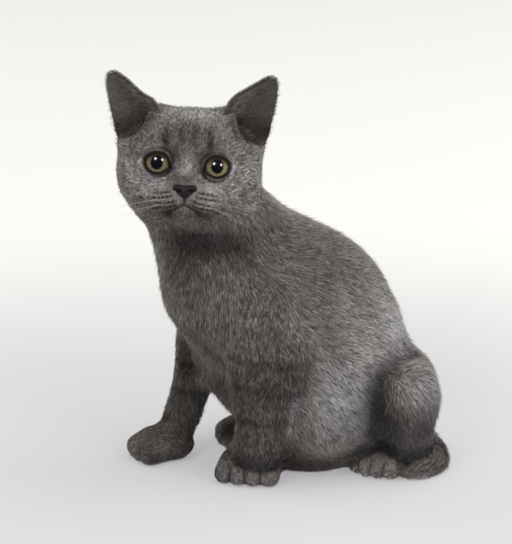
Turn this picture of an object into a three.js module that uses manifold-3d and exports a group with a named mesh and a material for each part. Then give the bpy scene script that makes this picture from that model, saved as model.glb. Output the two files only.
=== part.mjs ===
// A British Shorthair type kitten, about ten weeks old, sitting with its head turned to its left.
// Millimetres, +Z up. The body faces -Y, the kitten's left side is +X, and the floor is z = 0.
// Every outline is that of the coat. The flesh is one smooth field of rounded muscles, which is
// meshed finely where it has detail, and parted into head, neck, trunk, tail, legs and paws.
import * as THREE from 'three';
import { mergeVertices } from 'three/addons/utils/BufferGeometryUtils.js';
import Module from 'manifold-3d';

const wasm = await Module();
wasm.setup();

// ---------------------------------------------------------------- driving dimensions
const CUT_GAP = 0.7; // width of the thin cuts between two parts of the body
const CUT_CELL = 12; // the cuts' own mesh
const WALK_STEP = 6;
const SHORT_EDGE = 0.8; // edges that cuts leave under this length are closed up
const TINY_EDGE = 0.03;
const PINCH_GAP = 0.1; // a surface that touches itself is drawn this far into the flesh
const FLOOR_DEPTH = 40; // how far below the floor the cutting block reaches
const FLOOR_WIDTH = 400;

const HEAD_AT = [-7.7, -56.1, 164]; // middle of the skull, level with the eyes
const HEAD_YAW = 68; // degrees, turned to the kitten's left
const HEAD_PITCH = 7; // nose up
const HEAD_ROLL = 2.4; // left ear down

const EYE_SPACING = 28.5; // between the middles of the two eyes
const EYE_DROP = 0.65; // how far the left eye lies below the face's middle, and the right one above
const EYE_RADIUS = 7.8; // the eyeball
const EYE_OPENING = 6; // radius of the round opening between the lids
const EYE_FRONT = -26.6; // how far forward the lids lie, in the head's frame

const EAR_HEIGHT = 33.6;
const EAR_WIDTH = 28;
const EAR_WALL = 2.4; // the ear's skin with its short coat on both sides
const EAR_CUP = 8; // how deep the ear's shell is hollowed
const EAR_SWEEP = 5.5; // how far the tip curves outwards
const EAR_TIP = 0.985; // where the tip ends, as a share of the height
const EAR_ROOT = [24.8, 1, 11]; // in the head's frame
const EAR_LEAN = { 1: 18.5, [-1]: 22.5 }; // degrees outwards, left and right
const EAR_TURN = 22; // degrees that the opening faces outwards
const EAR_TILT = -4; // degrees, forwards

const NOSE_AT = [0, -34.6, -10.8]; // in the head's frame
const NOSE_HALF = [5.8, 4, 4]; // half its width above, its depth and its height

const PAW_LENGTH = 32;
const PAW_WIDTH = 30;
const PAW_HEIGHT = 17.8;
const TOE_COUNT = 4;
const TOE_RADIUS = 5;

// ---------------------------------------------------------------- small helpers
const rad = THREE.MathUtils.degToRad;

// The head's own frame: -Y is the way the face looks, +X is the head's left.
const headFrame = new THREE.Matrix4().compose(
  new THREE.Vector3(...HEAD_AT),
  new THREE.Quaternion()
    .setFromAxisAngle(new THREE.Vector3(0, 0, 1), rad(HEAD_YAW))
    .multiply(new THREE.Quaternion().setFromAxisAngle(new THREE.Vector3(1, 0, 0), -rad(HEAD_PITCH)))
    .multiply(new THREE.Quaternion().setFromAxisAngle(new THREE.Vector3(0, 1, 0), rad(HEAD_ROLL))),
  new THREE.Vector3(1, 1, 1),
);
const BODY = new THREE.Matrix4();

// A frame that stands at a point, turned about the vertical.
function standing(at, heading = 0) {
  return new THREE.Matrix4().makeRotationZ(rad(heading)).setPosition(...at);
}

// ---------------------------------------------------------------- muscles
// Each muscle is a signed distance to a rounded shape, and blend is how softly it joins the rest.
function ball(frame, at, radius, blend) {
  const c = new THREE.Vector3(...at).applyMatrix4(frame);
  const distance = (x, y, z) => Math.hypot(x - c.x, y - c.y, z - c.z) - radius;
  return { distance, blend };
}

function egg(frame, at, radii, blend) {
  const own = frame.clone().multiply(new THREE.Matrix4().setPosition(...at)).invert().elements;
  const [a, b, c] = radii;
  const distance = (x, y, z) => {
    const px = own[0] * x + own[4] * y + own[8] * z + own[12];
    const py = own[1] * x + own[5] * y + own[9] * z + own[13];
    const pz = own[2] * x + own[6] * y + own[10] * z + own[14];
    const near = Math.hypot(px / a, py / b, pz / c);
    const steep = Math.hypot(px / (a * a), py / (b * b), pz / (c * c));
    return steep < 1e-9 ? -Math.min(a, b, c) : (near * (near - 1)) / steep;
  };
  return { distance, blend };
}

function limb(frame, from, fromRadius, to, toRadius, blend) {
  const a = new THREE.Vector3(...from).applyMatrix4(frame);
  const b = new THREE.Vector3(...to).applyMatrix4(frame);
  const d = b.clone().sub(a);
  const squared = d.lengthSq();
  const distance = (x, y, z) => {
    const along = ((x - a.x) * d.x + (y - a.y) * d.y + (z - a.z) * d.z) / squared;
    const t = Math.min(1, Math.max(0, along));
    const reach = Math.hypot(x - a.x - t * d.x, y - a.y - t * d.y, z - a.z - t * d.z);
    return reach - fromRadius - t * (toRadius - fromRadius);
  };
  return { distance, blend };
}

// Left and right copies of something in the head's frame.
const bothSides = (make) => [1, -1].map(make);

const head = [
  egg(headFrame, [0, 1, 0], [35.5, 31, 26], 8),
  egg(headFrame, [0, -4, -11.5], [30.5, 25, 18.5], 12),
  ...bothSides((s) => ball(headFrame, [s * 18, -8, -9], 15, 10)),
  ...bothSides((s) => ball(headFrame, [s * 13, -16, 8], 10, 8)),
  ...bothSides((s) => ball(headFrame, [s * 24, 2, 8], 10.5, 9)),
  ...bothSides((s) => ball(headFrame, [s * 17.5, 11, 18.5], 7.5, 8)),
  ...bothSides((s) => ball(headFrame, [s * 17.5, 2, -20.5], 11.5, 8)),
  limb(headFrame, [0, -19.5, 9], 10.5, [0, -30.5, -9], 6, 7),
  ...bothSides((s) => egg(headFrame, [s * 6.2, -29.5, -15.5], [8.6, 8.3, 6.8], 5)),
  egg(headFrame, [0, -26.5, -24], [8.6, 8, 6.6], 6),
];

// Hollows in the coat: the sockets round the eyes.
const dents = bothSides((s) => ball(headFrame, [s * 15.6, -38.4, 0.5], 13, 2.5));

const neck = [
  ball(BODY, [-7, -49.5, 126], 25.5, 16),
  ball(BODY, [-8, -36, 123], 25.5, 16),
];

const trunk = [
  egg(BODY, [-5, -39, 97], [32, 32, 33], 14),
  ball(BODY, [-5, -17.5, 102], 32.8, 16),
  egg(BODY, [1, 6, 87], [38, 36, 36], 16),
  egg(BODY, [5, 17, 62], [40, 36, 37], 16),
  egg(BODY, [6, 4, 40], [40, 39, 41], 14),
  egg(BODY, [4, 32, 34], [32, 30, 34], 12),
  limb(BODY, [-4, -26, 72], 26, [0, -10, 54], 30, 12),
  limb(BODY, [-14, -40, 47.5], 9.5, [-5, -33, 42], 10, 9),
];

// A paw on the floor: a low pad and four round toes side by side, facing its own heading.
function paw(at, heading, { width = PAW_WIDTH, length = PAW_LENGTH, height = PAW_HEIGHT } = {}) {
  const frame = standing(at, heading);
  const pad = egg(frame, [0, 1, height * 0.44], [width / 2 - 1, length / 2 - 3, height * 0.56], 5);
  const toes = Array.from({ length: TOE_COUNT }, (_, i) => {
    const side = i - (TOE_COUNT - 1) / 2;
    const middle = 1 - (side * side) / 3;
    const x = (side * (width - 2 * TOE_RADIUS)) / (TOE_COUNT - 1);
    const tip = -length / 2 + TOE_RADIUS + 1.2 - 2.6 * middle;
    return limb(frame, [x * 0.8, tip + 8, height / 2], TOE_RADIUS + 1, [x, tip, 4.6], TOE_RADIUS, 1.4);
  });
  return [pad, ...toes];
}

const foreleg_left = [
  limb(BODY, [14, -27, 92], 21, [23, -22, 60], 18.5, 12),
  limb(BODY, [23, -22, 60], 18.5, [22.5, -29, 22], 13.5, 8),
  limb(BODY, [22, -28.5, 22], 13, [17, -30.5, 15], 12, 5),
];
const foreleg_right = [
  limb(BODY, [-20, -34, 92], 18, [-31, -40, 62], 13.5, 12),
  limb(BODY, [-31, -40.5, 62], 13.5, [-32, -52, 24], 9, 8),
  limb(BODY, [-32, -52, 24], 9, [-31.5, -58, 11], 9.2, 4),
];
const forepaw_left = paw([14, -31.8, 0], 56, { width: 34, length: 30 });
const forepaw_right = paw([-32.6, -62.9, 0], 4, { length: 34, height: 15.8 });

const haunch_left = [
  limb(BODY, [22, 42, 45], 22, [40, 39, 44], 19.5, 4),
  limb(BODY, [41, 39, 41], 18.5, [32, 46, 18], 13.5, 4),
];
const haunch_right = [
  limb(BODY, [-12, 38, 46], 26, [-34, 12, 44], 20, 10),
  limb(BODY, [-34, 12, 42], 18, [-32, 18, 16], 13, 6),
];
const hindpaw_left = [...paw([25.2, 35.6, 0], 43), limb(BODY, [22.7, 39.6, 8], 9, [13, 50, 8], 8, 4)];
const hindpaw_right = [
  ...paw([-38, -14.5, 0], -8, { height: 14.5 }),
  limb(BODY, [-37.5, -10, 7], 7.5, [-36, 16, 8], 8, 4),
];

const tailPath = new THREE.CatmullRomCurve3(
  [
    [-14, 44, 20],
    [0, 57, 12],
    [17, 62.5, 8],
    [33, 61, 6.5],
    [40.5, 53, 6],
    [42, 43.5, 5.5],
  ].map((p) => new THREE.Vector3(...p)),
);
const TAIL_ROOT_RADIUS = 9.5;
const TAIL_TIP_RADIUS = 5.5;
const TAIL_LENGTHS = 12;
function tailRadius(t) {
  return THREE.MathUtils.lerp(TAIL_ROOT_RADIUS, TAIL_TIP_RADIUS, t);
}
const tail = Array.from({ length: TAIL_LENGTHS }, (_, i) => {
  const [t, next] = [i / TAIL_LENGTHS, (i + 1) / TAIL_LENGTHS];
  const [from, to] = [tailPath.getPoint(t), tailPath.getPoint(next)];
  return limb(BODY, from.toArray(), tailRadius(t), to.toArray(), tailRadius(next), 1);
});

// name, muscles and the grid that the part is meshed on
const parts = [
  ['head', head, { frame: headFrame, cell: 3.8, focus: [0, -36, -12], growth: 0.022 }],
  ['neck', neck, { cell: 10 }],
  ['trunk', trunk, { cell: 11.5 }],
  ['foreleg_left', foreleg_left, { cell: 8 }],
  ['foreleg_right', foreleg_right, { cell: 8 }],
  ['forepaw_left', forepaw_left, { cell: 4 }],
  ['forepaw_right', forepaw_right, { cell: 4 }],
  ['haunch_left', haunch_left, { cell: 8 }],
  ['haunch_right', haunch_right, { cell: 9 }],
  ['hindpaw_left', hindpaw_left, { cell: 4.4 }],
  ['hindpaw_right', hindpaw_right, { cell: 4.4 }],
  ['tail', tail, { cell: 6 }],
];

// ---------------------------------------------------------------- the field
// Joins two distances with a rounded fillet of the given reach.
function joined(a, b, blend) {
  const h = Math.max(blend - Math.abs(a - b), 0) / blend;
  return Math.min(a, b) - (h * h * blend) / 4;
}

function together(muscles, dents = []) {
  return (x, y, z) => {
    const full = muscles.reduce((d, m) => joined(d, m.distance(x, y, z), m.blend), 1e3);
    return dents.reduce((d, m) => -joined(-d, m.distance(x, y, z), m.blend), full);
  };
}

const wholeBody = together(parts.flatMap(([, muscles]) => muscles), dents);
const ownFields = new Map(parts.map(([name, muscles]) => [name, together(muscles)]));

// Below zero where the named part is the nearest one.
function territory(name) {
  const own = ownFields.get(name);
  const others = [...ownFields].filter(([other]) => other !== name).map(([, field]) => field);
  return (x, y, z) => {
    const rest = others.reduce((d, field) => Math.min(d, field(x, y, z)), 1e3);
    return (own(x, y, z) - rest) / 2;
  };
}

// ---------------------------------------------------------------- meshing a field
// Grid lines along one axis, a cell apart at the focus and wider away from it.
function gridLines(from, to, cell, focus, growth) {
  const start = THREE.MathUtils.clamp(focus, from, to);
  const lines = [start];
  while (lines.at(-1) < to + cell) lines.push(lines.at(-1) + cell * (1 + growth * (lines.at(-1) - start)));
  while (lines[0] > from - cell) lines.unshift(lines[0] - cell * (1 + growth * (start - lines[0])));
  return lines;
}

// A closed mesh of the points below zero in a box of the given frame: one vertex in each cell
// that the surface crosses, and a quad round each crossed edge of the grid.
function meshed(field, { frame = BODY, box, cell, focus = [0, 0, 0], growth = 0 }) {
  const lines = [0, 1, 2].map((axis) =>
    gridLines(box.min.getComponent(axis), box.max.getComponent(axis), cell, focus[axis], growth),
  );
  const n = lines.map((l) => l.length);
  const key = (i, j, k) => i + n[0] * (j + n[1] * k);
  const spot = new THREE.Vector3();
  const values = new Float64Array(n[0] * n[1] * n[2]);
  for (let k = 0; k < n[2]; k++)
    for (let j = 0; j < n[1]; j++)
      for (let i = 0; i < n[0]; i++) {
        spot.set(lines[0][i], lines[1][j], lines[2][k]).applyMatrix4(frame);
        const value = field(spot.x, spot.y, spot.z);
        const atEdge = [i, j, k].some((c, axis) => c === 0 || c === n[axis] - 1);
        values[key(i, j, k)] = atEdge ? Math.max(value, cell / 8) : value;
      }

  // The middle of a cell's crossings, moved onto the surface.
  function crossing(i, j, k) {
    const sum = new THREE.Vector3();
    let count = 0;
    for (const axis of [0, 1, 2])
      for (const side of [0, 1, 2, 3]) {
        const from = [i, j, k];
        from[(axis + 1) % 3] += side & 1;
        from[(axis + 2) % 3] += side >> 1;
        const to = [...from];
        to[axis] += 1;
        const [u, v] = [values[key(...from)], values[key(...to)]];
        if (u < 0 === v < 0) continue;
        const point = from.map((c, a) => lines[a][c]);
        point[axis] += (u / (u - v)) * (lines[axis][to[axis]] - lines[axis][from[axis]]);
        sum.add(new THREE.Vector3(...point));
        count++;
      }
    return settled(field, sum.divideScalar(count).applyMatrix4(frame), cell);
  }

  const positions = [];
  const known = new Map();
  function vertex(cellAt) {
    const name = key(...cellAt);
    if (!known.has(name)) {
      known.set(name, positions.length / 3);
      positions.push(...crossing(...cellAt));
    }
    return known.get(name);
  }

  const indices = [];
  for (let k = 0; k < n[2] - 1; k++)
    for (let j = 0; j < n[1] - 1; j++)
      for (let i = 0; i < n[0] - 1; i++) {
        const inside = values[key(i, j, k)] < 0;
        for (const axis of [0, 1, 2]) {
          const next = [i, j, k];
          next[axis] += 1;
          if (values[key(...next)] < 0 === inside) continue;
          const round = [[1, 1], [0, 1], [0, 0], [1, 0]].map(([a, b]) => {
            const around = [i, j, k];
            around[(axis + 1) % 3] -= a;
            around[(axis + 2) % 3] -= b;
            return vertex(around);
          });
          const [a, b, c, d] = inside ? round : round.reverse();
          indices.push(a, b, c, a, c, d);
        }
      }
  const geometry = new THREE.BufferGeometry();
  geometry.setAttribute('position', new THREE.Float32BufferAttribute(positions, 3));
  geometry.setIndex(indices);
  return geometry;
}

// Moves a point onto the field's surface, by two short steps down its slope.
function settled(field, point, cell) {
  let [x, y, z] = point.toArray();
  const e = cell / 10;
  for (let step = 0; step < 2; step++) {
    const value = field(x, y, z);
    const slope = [
      (field(x + e, y, z) - field(x - e, y, z)) / (2 * e),
      (field(x, y + e, z) - field(x, y - e, z)) / (2 * e),
      (field(x, y, z + e) - field(x, y, z - e)) / (2 * e),
    ];
    const steepness = Math.max(Math.hypot(...slope), 0.5);
    const move = THREE.MathUtils.clamp(value / steepness, -cell / 4, cell / 4) / steepness;
    x -= slope[0] * move;
    y -= slope[1] * move;
    z -= slope[2] * move;
  }
  return [x, y, z];
}

// ---------------------------------------------------------------- solids and meshes
function solidOf(geometry) {
  const bare = geometry.clone();
  bare.deleteAttribute('normal');
  bare.deleteAttribute('uv');
  const merged = mergeVertices(bare, 1e-4);
  return new wasm.Manifold(
    new wasm.Mesh({
      numProp: 3,
      vertProperties: new Float32Array(merged.attributes.position.array),
      triVerts: new Uint32Array(merged.index.array),
    }),
  );
}

function geometryOf(solid) {
  const mesh = solid.getMesh();
  const geometry = new THREE.BufferGeometry();
  geometry.setAttribute('position', new THREE.BufferAttribute(mesh.vertProperties, 3));
  geometry.setIndex(new THREE.BufferAttribute(mesh.triVerts, 1));
  geometry.computeVertexNormals();
  return geometry;
}

// A copy of a closed mesh with every vertex moved outwards.
function fattened(geometry, distance) {
  const fat = geometry.clone();
  fat.computeVertexNormals();
  const { position, normal } = fat.attributes;
  const p = new THREE.Vector3();
  const out = new THREE.Vector3();
  for (let i = 0; i < position.count; i++) {
    p.fromBufferAttribute(position, i);
    p.addScaledVector(out.fromBufferAttribute(normal, i), distance);
    position.setXYZ(i, p.x, p.y, p.z);
  }
  return fat;
}

// How far a face turns when one of its corners moves: 1 is not at all, -1 is right over.
function turning(corners, from, to) {
  const before = new THREE.Triangle(...corners);
  const after = new THREE.Triangle(...corners.map((c) => (c === from ? to : c)));
  return before.getNormal(new THREE.Vector3()).dot(after.getNormal(new THREE.Vector3()));
}

// Closes the short edges that cuts leave, wherever the mesh stays closed and no face turns over.
function withoutCrumbs(geometry) {
  const { position } = geometry.attributes;
  const points = Array.from({ length: position.count }, (_, i) =>
    new THREE.Vector3().fromBufferAttribute(position, i),
  );
  const faces = [];
  for (let i = 0; i < geometry.index.count; i += 3)
    faces.push([0, 1, 2].map((c) => geometry.index.getX(i + c)));
  const facesAt = points.map(() => new Set());
  faces.forEach((face, f) => face.forEach((v) => facesAt[v].add(f)));
  const neighbours = (v) => new Set([...facesAt[v]].flatMap((f) => faces[f]).filter((w) => w !== v));

  function closes(a, b) {
    const length = points[a].distanceTo(points[b]);
    if (length > SHORT_EDGE) return false;
    const beyond = neighbours(b);
    if ([...neighbours(a)].filter((v) => beyond.has(v)).length !== 2) return false;
    if (length < TINY_EDGE) return true;
    const moved = [...facesAt[b]].filter((f) => !facesAt[a].has(f));
    return moved.every((f) => turning(faces[f].map((v) => points[v]), points[b], points[a]) > 0.5);
  }

  for (let a = 0; a < points.length; a++)
    for (const b of neighbours(a)) {
      if (!neighbours(a).has(b) || !closes(a, b)) continue;
      for (const f of facesAt[b]) {
        if (facesAt[a].has(f)) {
          faces[f].forEach((v) => v !== b && facesAt[v].delete(f));
          faces[f] = null;
        } else {
          faces[f] = faces[f].map((v) => (v === b ? a : v));
          facesAt[a].add(f);
        }
      }
      facesAt[b].clear();
    }
  const used = points.map((_, v) => v).filter((v) => facesAt[v].size > 0);
  const renamed = new Map(used.map((v, i) => [v, i]));
  const clean = new THREE.BufferGeometry().setFromPoints(used.map((v) => points[v]));
  clean.setIndex(faces.filter(Boolean).flatMap((face) => face.map((v) => renamed.get(v))));
  return clean;
}

// Draws apart the corners where a surface touches itself, each a little way into its own flesh.
function unpinched(geometry) {
  const apart = fattened(geometry, -PINCH_GAP).attributes.position;
  const { position } = geometry.attributes;
  const atSamePlace = new Map();
  for (let i = 0; i < position.count; i++) {
    const place = [position.getX(i), position.getY(i), position.getZ(i)].join();
    atSamePlace.set(place, [...(atSamePlace.get(place) ?? []), i]);
  }
  for (const twins of atSamePlace.values())
    if (twins.length > 1) for (const i of twins) position.copyAt(i, apart, i);
  return geometry;
}

// The biggest separate body of a solid, without the crumbs that a cut can leave.
function biggest(solid) {
  return solid.decompose().sort((a, b) => b.volume() - a.volume())[0];
}

// A block with its top on the floor.
const underFloor = solidOf(
  new THREE.BoxGeometry(FLOOR_WIDTH, FLOOR_WIDTH, FLOOR_DEPTH).translate(0, 0, -FLOOR_DEPTH / 2),
);

// The box in a frame that a part's territory fills, from a coarse walk round its own muscles.
function reachOf(name, frame = BODY) {
  const own = ownFields.get(name);
  const back = frame.clone().invert();
  const box = new THREE.Box3();
  const p = new THREE.Vector3();
  for (let z = -12; z < 240; z += WALK_STEP)
    for (let y = -120; y < 120; y += WALK_STEP)
      for (let x = -90; x < 90; x += WALK_STEP)
        if (own(x, y, z) < WALK_STEP) box.expandByPoint(p.set(x, y, z).applyMatrix4(back));
  return box.expandByScalar(WALK_STEP);
}

// Each part is the whole body inside its own territory, less the fattened ones made before it.
const madeTerritories = [];
function bodyPart([name, , grid]) {
  const box = reachOf(name, grid.frame);
  const whole = solidOf(meshed(wholeBody, { ...grid, box }));
  const cut = meshed(territory(name), { box: reachOf(name).expandByScalar(CUT_CELL), cell: CUT_CELL });
  const piece = madeTerritories.reduce(
    (solid, made) => solid.subtract(made),
    whole.intersect(solidOf(cut)).subtract(underFloor),
  );
  madeTerritories.push(solidOf(fattened(cut, CUT_GAP)));
  return biggest(piece);
}

// ---------------------------------------------------------------- eyes, ears and nose
const eyeDepth = Math.sqrt(EYE_RADIUS ** 2 - EYE_OPENING ** 2);
function eyeCentre(side) {
  const centre = new THREE.Vector3((side * EYE_SPACING) / 2, EYE_FRONT + eyeDepth, -side * EYE_DROP);
  return centre.applyMatrix4(headFrame);
}
function eyeball(side, radius) {
  const geometry = new THREE.SphereGeometry(radius, 14, 8);
  geometry.rotateX(Math.PI / 2);
  return geometry.translate(...eyeCentre(side).toArray());
}

// A cupped ear: arcs of falling width, stacked from the root to the rounded tip.
const EAR_ROWS = 8;
const EAR_STEPS = 8;
function earSection(t, side) {
  const half = (EAR_WIDTH / 2) * Math.sqrt(1 - t ** 1.7) * (1 - 0.25 * t);
  const cup = EAR_CUP * (1 - t) ** 0.8;
  const wall = EAR_WALL * (1 - 0.35 * t);
  const lean = side * EAR_SWEEP * t ** 1.4;
  const points = [];
  for (const [offset, way] of [[0, 1], [wall, -1]])
    for (let i = 0; i <= EAR_STEPS; i++) {
      const u = way * ((2 * i) / EAR_STEPS - 1);
      const back = cup * (1 - u * u) + offset * Math.sqrt(Math.max(0.08, 1 - u ** 4));
      points.push(new THREE.Vector3(u * half + lean, back, t * EAR_HEIGHT));
    }
  return points;
}
function earGeometry(side) {
  const rows = Array.from({ length: EAR_ROWS + 1 }, (_, i) => {
    return earSection(Math.min(i / EAR_ROWS, EAR_TIP), side);
  });
  const around = rows[0].length;
  const positions = rows.flat().flatMap((p) => p.toArray());
  const indices = [];
  for (let r = 0; r < EAR_ROWS; r++)
    for (let i = 0; i < around; i++) {
      const [a, b] = [r * around + i, r * around + ((i + 1) % around)];
      indices.push(a, b, b + around, a, b + around, a + around);
    }
  for (const [row, flip] of [[0, true], [EAR_ROWS, false]])
    for (let i = 0; i < EAR_STEPS; i++) {
      const base = row * around;
      const [a, b] = [base + i, base + i + 1];
      const [c, d] = [base + around - 1 - i, base + around - 2 - i];
      const faces = [[a, b, d], [a, d, c]];
      for (const face of faces) indices.push(...(flip ? face.reverse() : face));
    }
  const geometry = new THREE.BufferGeometry();
  geometry.setAttribute('position', new THREE.Float32BufferAttribute(positions, 3));
  geometry.setIndex(indices);
  return geometry;
}
function ear(side) {
  const place = new THREE.Matrix4()
    .makeTranslation(side * EAR_ROOT[0], EAR_ROOT[1], EAR_ROOT[2])
    .multiply(new THREE.Matrix4().makeRotationY(side * rad(EAR_LEAN[side])))
    .multiply(new THREE.Matrix4().makeRotationZ(side * rad(EAR_TURN)))
    .multiply(new THREE.Matrix4().makeRotationX(rad(EAR_TILT)));
  return solidOf(earGeometry(side).applyMatrix4(headFrame.clone().multiply(place)));
}

// The nose leather: a rounded triangle, wide above and narrow below.
function noseGeometry(grown) {
  const geometry = new THREE.SphereGeometry(1, 12, 7);
  const place = geometry.attributes.position;
  const p = new THREE.Vector3();
  for (let i = 0; i < place.count; i++) {
    p.fromBufferAttribute(place, i);
    const [width, deep, high] = NOSE_HALF;
    const narrowed = width * (0.62 + 0.38 * Math.min(1, p.z + 0.9));
    p.set(p.x * (narrowed + grown), p.y * (deep + grown), p.z * (high + grown));
    place.setXYZ(i, p.x, p.y, p.z);
  }
  return geometry.translate(...NOSE_AT).applyMatrix4(headFrame);
}

// ---------------------------------------------------------------- assembly
const fur = new THREE.MeshStandardMaterial({ color: 0x6b6865, roughness: 0.95, metalness: 0 });
const darkFur = new THREE.MeshStandardMaterial({ color: 0x55504c, roughness: 0.95, metalness: 0 });
const leather = new THREE.MeshStandardMaterial({ color: 0x2c282b, roughness: 0.55, metalness: 0 });
const iris = new THREE.MeshStandardMaterial({ color: 0x8f7a42, roughness: 0.05, metalness: 0 });

const kitten = new THREE.Group();
function add(name, solid, material) {
  const tidy = solidOf(unpinched(withoutCrumbs(geometryOf(solid))));
  const mesh = new THREE.Mesh(geometryOf(tidy), material);
  mesh.name = name;
  kitten.add(mesh);
}

const sides = [['left', 1], ['right', -1]];
for (const part of parts) {
  const [name] = part;
  let solid = bodyPart(part);
  if (name === 'head') {
    for (const [, side] of sides) solid = solid.subtract(solidOf(eyeball(side, EYE_RADIUS + CUT_GAP)));
    solid = biggest(solid.subtract(solidOf(noseGeometry(CUT_GAP))));
  }
  add(name, solid, name === 'tail' ? darkFur : fur);
}

const grownHead = solidOf(
  meshed((x, y, z) => wholeBody(x, y, z) - CUT_GAP, { box: reachOf('head'), cell: 4 }),
);
for (const [name, side] of sides) {
  add('ear_' + name, biggest(ear(side).subtract(grownHead)), darkFur);
  add('eye_' + name, solidOf(eyeball(side, EYE_RADIUS)), iris);
}
add('nose', solidOf(noseGeometry(0)), leather);

// The origin is under the middle of the kitten, on the floor.
const bounds = new THREE.Box3().setFromObject(kitten);
const middle = bounds.getCenter(new THREE.Vector3());
kitten.position.set(-middle.x, -middle.y, -bounds.min.z);

export default kitten;
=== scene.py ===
"""A sitting blue-grey kitten as a still, life-size model: skin, eyes, nose, coat and whiskers,
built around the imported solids. Metres, +Z up. The body faces -Y and the kitten's left side is +X.
Shapes are worked out in millimetres and turned to metres as their meshes are made."""

from math import cos, pi, radians, sin, sqrt

import bpy
import numpy as np
from mathutils import Matrix, Vector
from mathutils.bvhtree import BVHTree
from mathutils.kdtree import KDTree


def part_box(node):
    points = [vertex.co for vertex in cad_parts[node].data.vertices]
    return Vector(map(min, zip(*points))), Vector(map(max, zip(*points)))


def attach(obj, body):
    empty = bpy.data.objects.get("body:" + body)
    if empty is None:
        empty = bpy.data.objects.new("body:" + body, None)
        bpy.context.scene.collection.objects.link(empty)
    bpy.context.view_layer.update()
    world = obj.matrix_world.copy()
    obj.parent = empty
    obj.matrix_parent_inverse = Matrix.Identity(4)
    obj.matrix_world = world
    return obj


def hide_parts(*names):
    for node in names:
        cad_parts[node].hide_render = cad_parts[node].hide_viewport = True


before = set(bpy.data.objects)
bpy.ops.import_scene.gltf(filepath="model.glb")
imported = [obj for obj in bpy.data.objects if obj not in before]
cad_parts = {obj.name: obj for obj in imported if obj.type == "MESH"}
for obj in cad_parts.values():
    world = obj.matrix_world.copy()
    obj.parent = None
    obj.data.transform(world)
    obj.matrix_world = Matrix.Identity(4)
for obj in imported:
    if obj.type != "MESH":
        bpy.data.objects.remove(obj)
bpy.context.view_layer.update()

MM = 0.001
SEED = 20
rng = np.random.default_rng(SEED)

FLESH = [
    "head", "neck", "trunk", "tail",
    "foreleg_left", "foreleg_right", "forepaw_left", "forepaw_right",
    "haunch_left", "haunch_right", "hindpaw_left", "hindpaw_right",
]  # fmt: skip
EARS = ["ear_left", "ear_right"]
SIDES = ((1, "left"), (-1, "right"))


# ---- small helpers
def unit(v):
    """Vectors, one or many, at length one."""
    v = np.asarray(v, float)
    return v / np.maximum(np.linalg.norm(v, axis=-1, keepdims=True), 1e-12)


def step(low, high, x):
    """0 below low, 1 above high, smooth between. With low above high it falls instead."""
    t = np.clip((np.asarray(x, float) - low) / (high - low), 0, 1)
    return t * t * (3 - 2 * t)


def bell(x, width):
    """1 where x is 0, fading out over a width."""
    return np.exp(-((x / width) ** 2))


def spot(points, centre, radii):
    """1 in the middle of a soft round spot, fading out over its radii."""
    away = (points - np.array(centre, float)) / np.array(radii, float)
    return np.exp(-(away**2).sum(-1))


def spots(points, table):
    """The sum of a table's soft spots: how strong each is, its middle and its radii."""
    return sum(share * spot(points, middle, radii) for share, middle, radii in table)


def from_line(points, line):
    """Distance to a line of straight stretches."""
    best = np.full(len(points), 1e3)
    for a, b in zip(line[:-1], line[1:]):
        t = np.clip((points - a) @ (b - a) / ((b - a) @ (b - a)), 0, 1)
        best = np.minimum(best, np.linalg.norm(points - a - t[:, None] * (b - a), axis=1))
    return best


def ripple(points, wavelength, seed, waves=9):
    """A smooth random pattern, about -1 to 1, whose swells are a wavelength apart."""
    own = np.random.default_rng(seed)
    total = 0
    for _ in range(waves):
        k = unit(own.normal(size=3)) * own.uniform(0.7, 1.4) * 2 * pi / wavelength
        total = total + np.sin(points @ k + own.uniform(0, 2 * pi))
    return total / sqrt(waves)


def read(items, key, width=1, kind=np.float32):
    """One property of each item: a number, or a row of numbers as wide as width."""
    values = np.empty(len(items) * width, kind)
    items.foreach_get(key, values)
    values = values.reshape(-1, width) if width > 1 else values
    return values.astype(float) if kind is np.float32 else values


def points_of(mesh):
    """A mesh's points, in millimetres."""
    return read(mesh.vertices, "co", 3) / MM


def move_points(mesh, points):
    mesh.vertices.foreach_set("co", (points * MM).astype(np.float32).ravel())
    mesh.update()


def normals_of(mesh):
    return read(mesh.vertex_normals, "vector", 3)


def write_values(obj, **fields):
    """Stores one number for each point under each name, for the materials to read."""
    for name, values in fields.items():
        made = obj.data.attributes.new(name, "FLOAT", "POINT")
        made.data.foreach_set("value", np.asarray(values, np.float32).ravel())


def read_value(obj, name):
    return read(obj.data.attributes[name].data, "value")


def link(name, data):
    """An object of a mesh, lamp or camera, put in the scene."""
    obj = bpy.data.objects.new(name, data)
    bpy.context.scene.collection.objects.link(obj)
    return obj


def piece_from(name, points, triangles):
    """A smooth-shaded object from arrays of points, in millimetres, and of triangles."""
    mesh = bpy.data.meshes.new(name)
    mesh.vertices.add(len(points))
    mesh.vertices.foreach_set("co", (points * MM).astype(np.float32).ravel())
    mesh.loops.add(len(triangles) * 3)
    mesh.loops.foreach_set("vertex_index", triangles.astype(np.int32).ravel())
    mesh.polygons.add(len(triangles))
    mesh.polygons.foreach_set("loop_start", np.arange(len(triangles), dtype=np.int32) * 3)
    mesh.update(calc_edges=True)
    mesh.shade_smooth()
    return link(name, mesh)


def only(obj):
    """Selects one object alone and makes it the active one."""
    bpy.ops.object.select_all(action="DESELECT")
    obj.select_set(True)
    bpy.context.view_layer.objects.active = obj
    return obj


def remesh(obj, voxel):
    """Meshes an object anew in voxels of a size in millimetres."""
    only(obj)
    modifier = obj.modifiers.new("Remesh", "REMESH")
    modifier.mode, modifier.voxel_size = "VOXEL", voxel * MM
    bpy.ops.object.modifier_apply(modifier=modifier.name)


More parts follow.
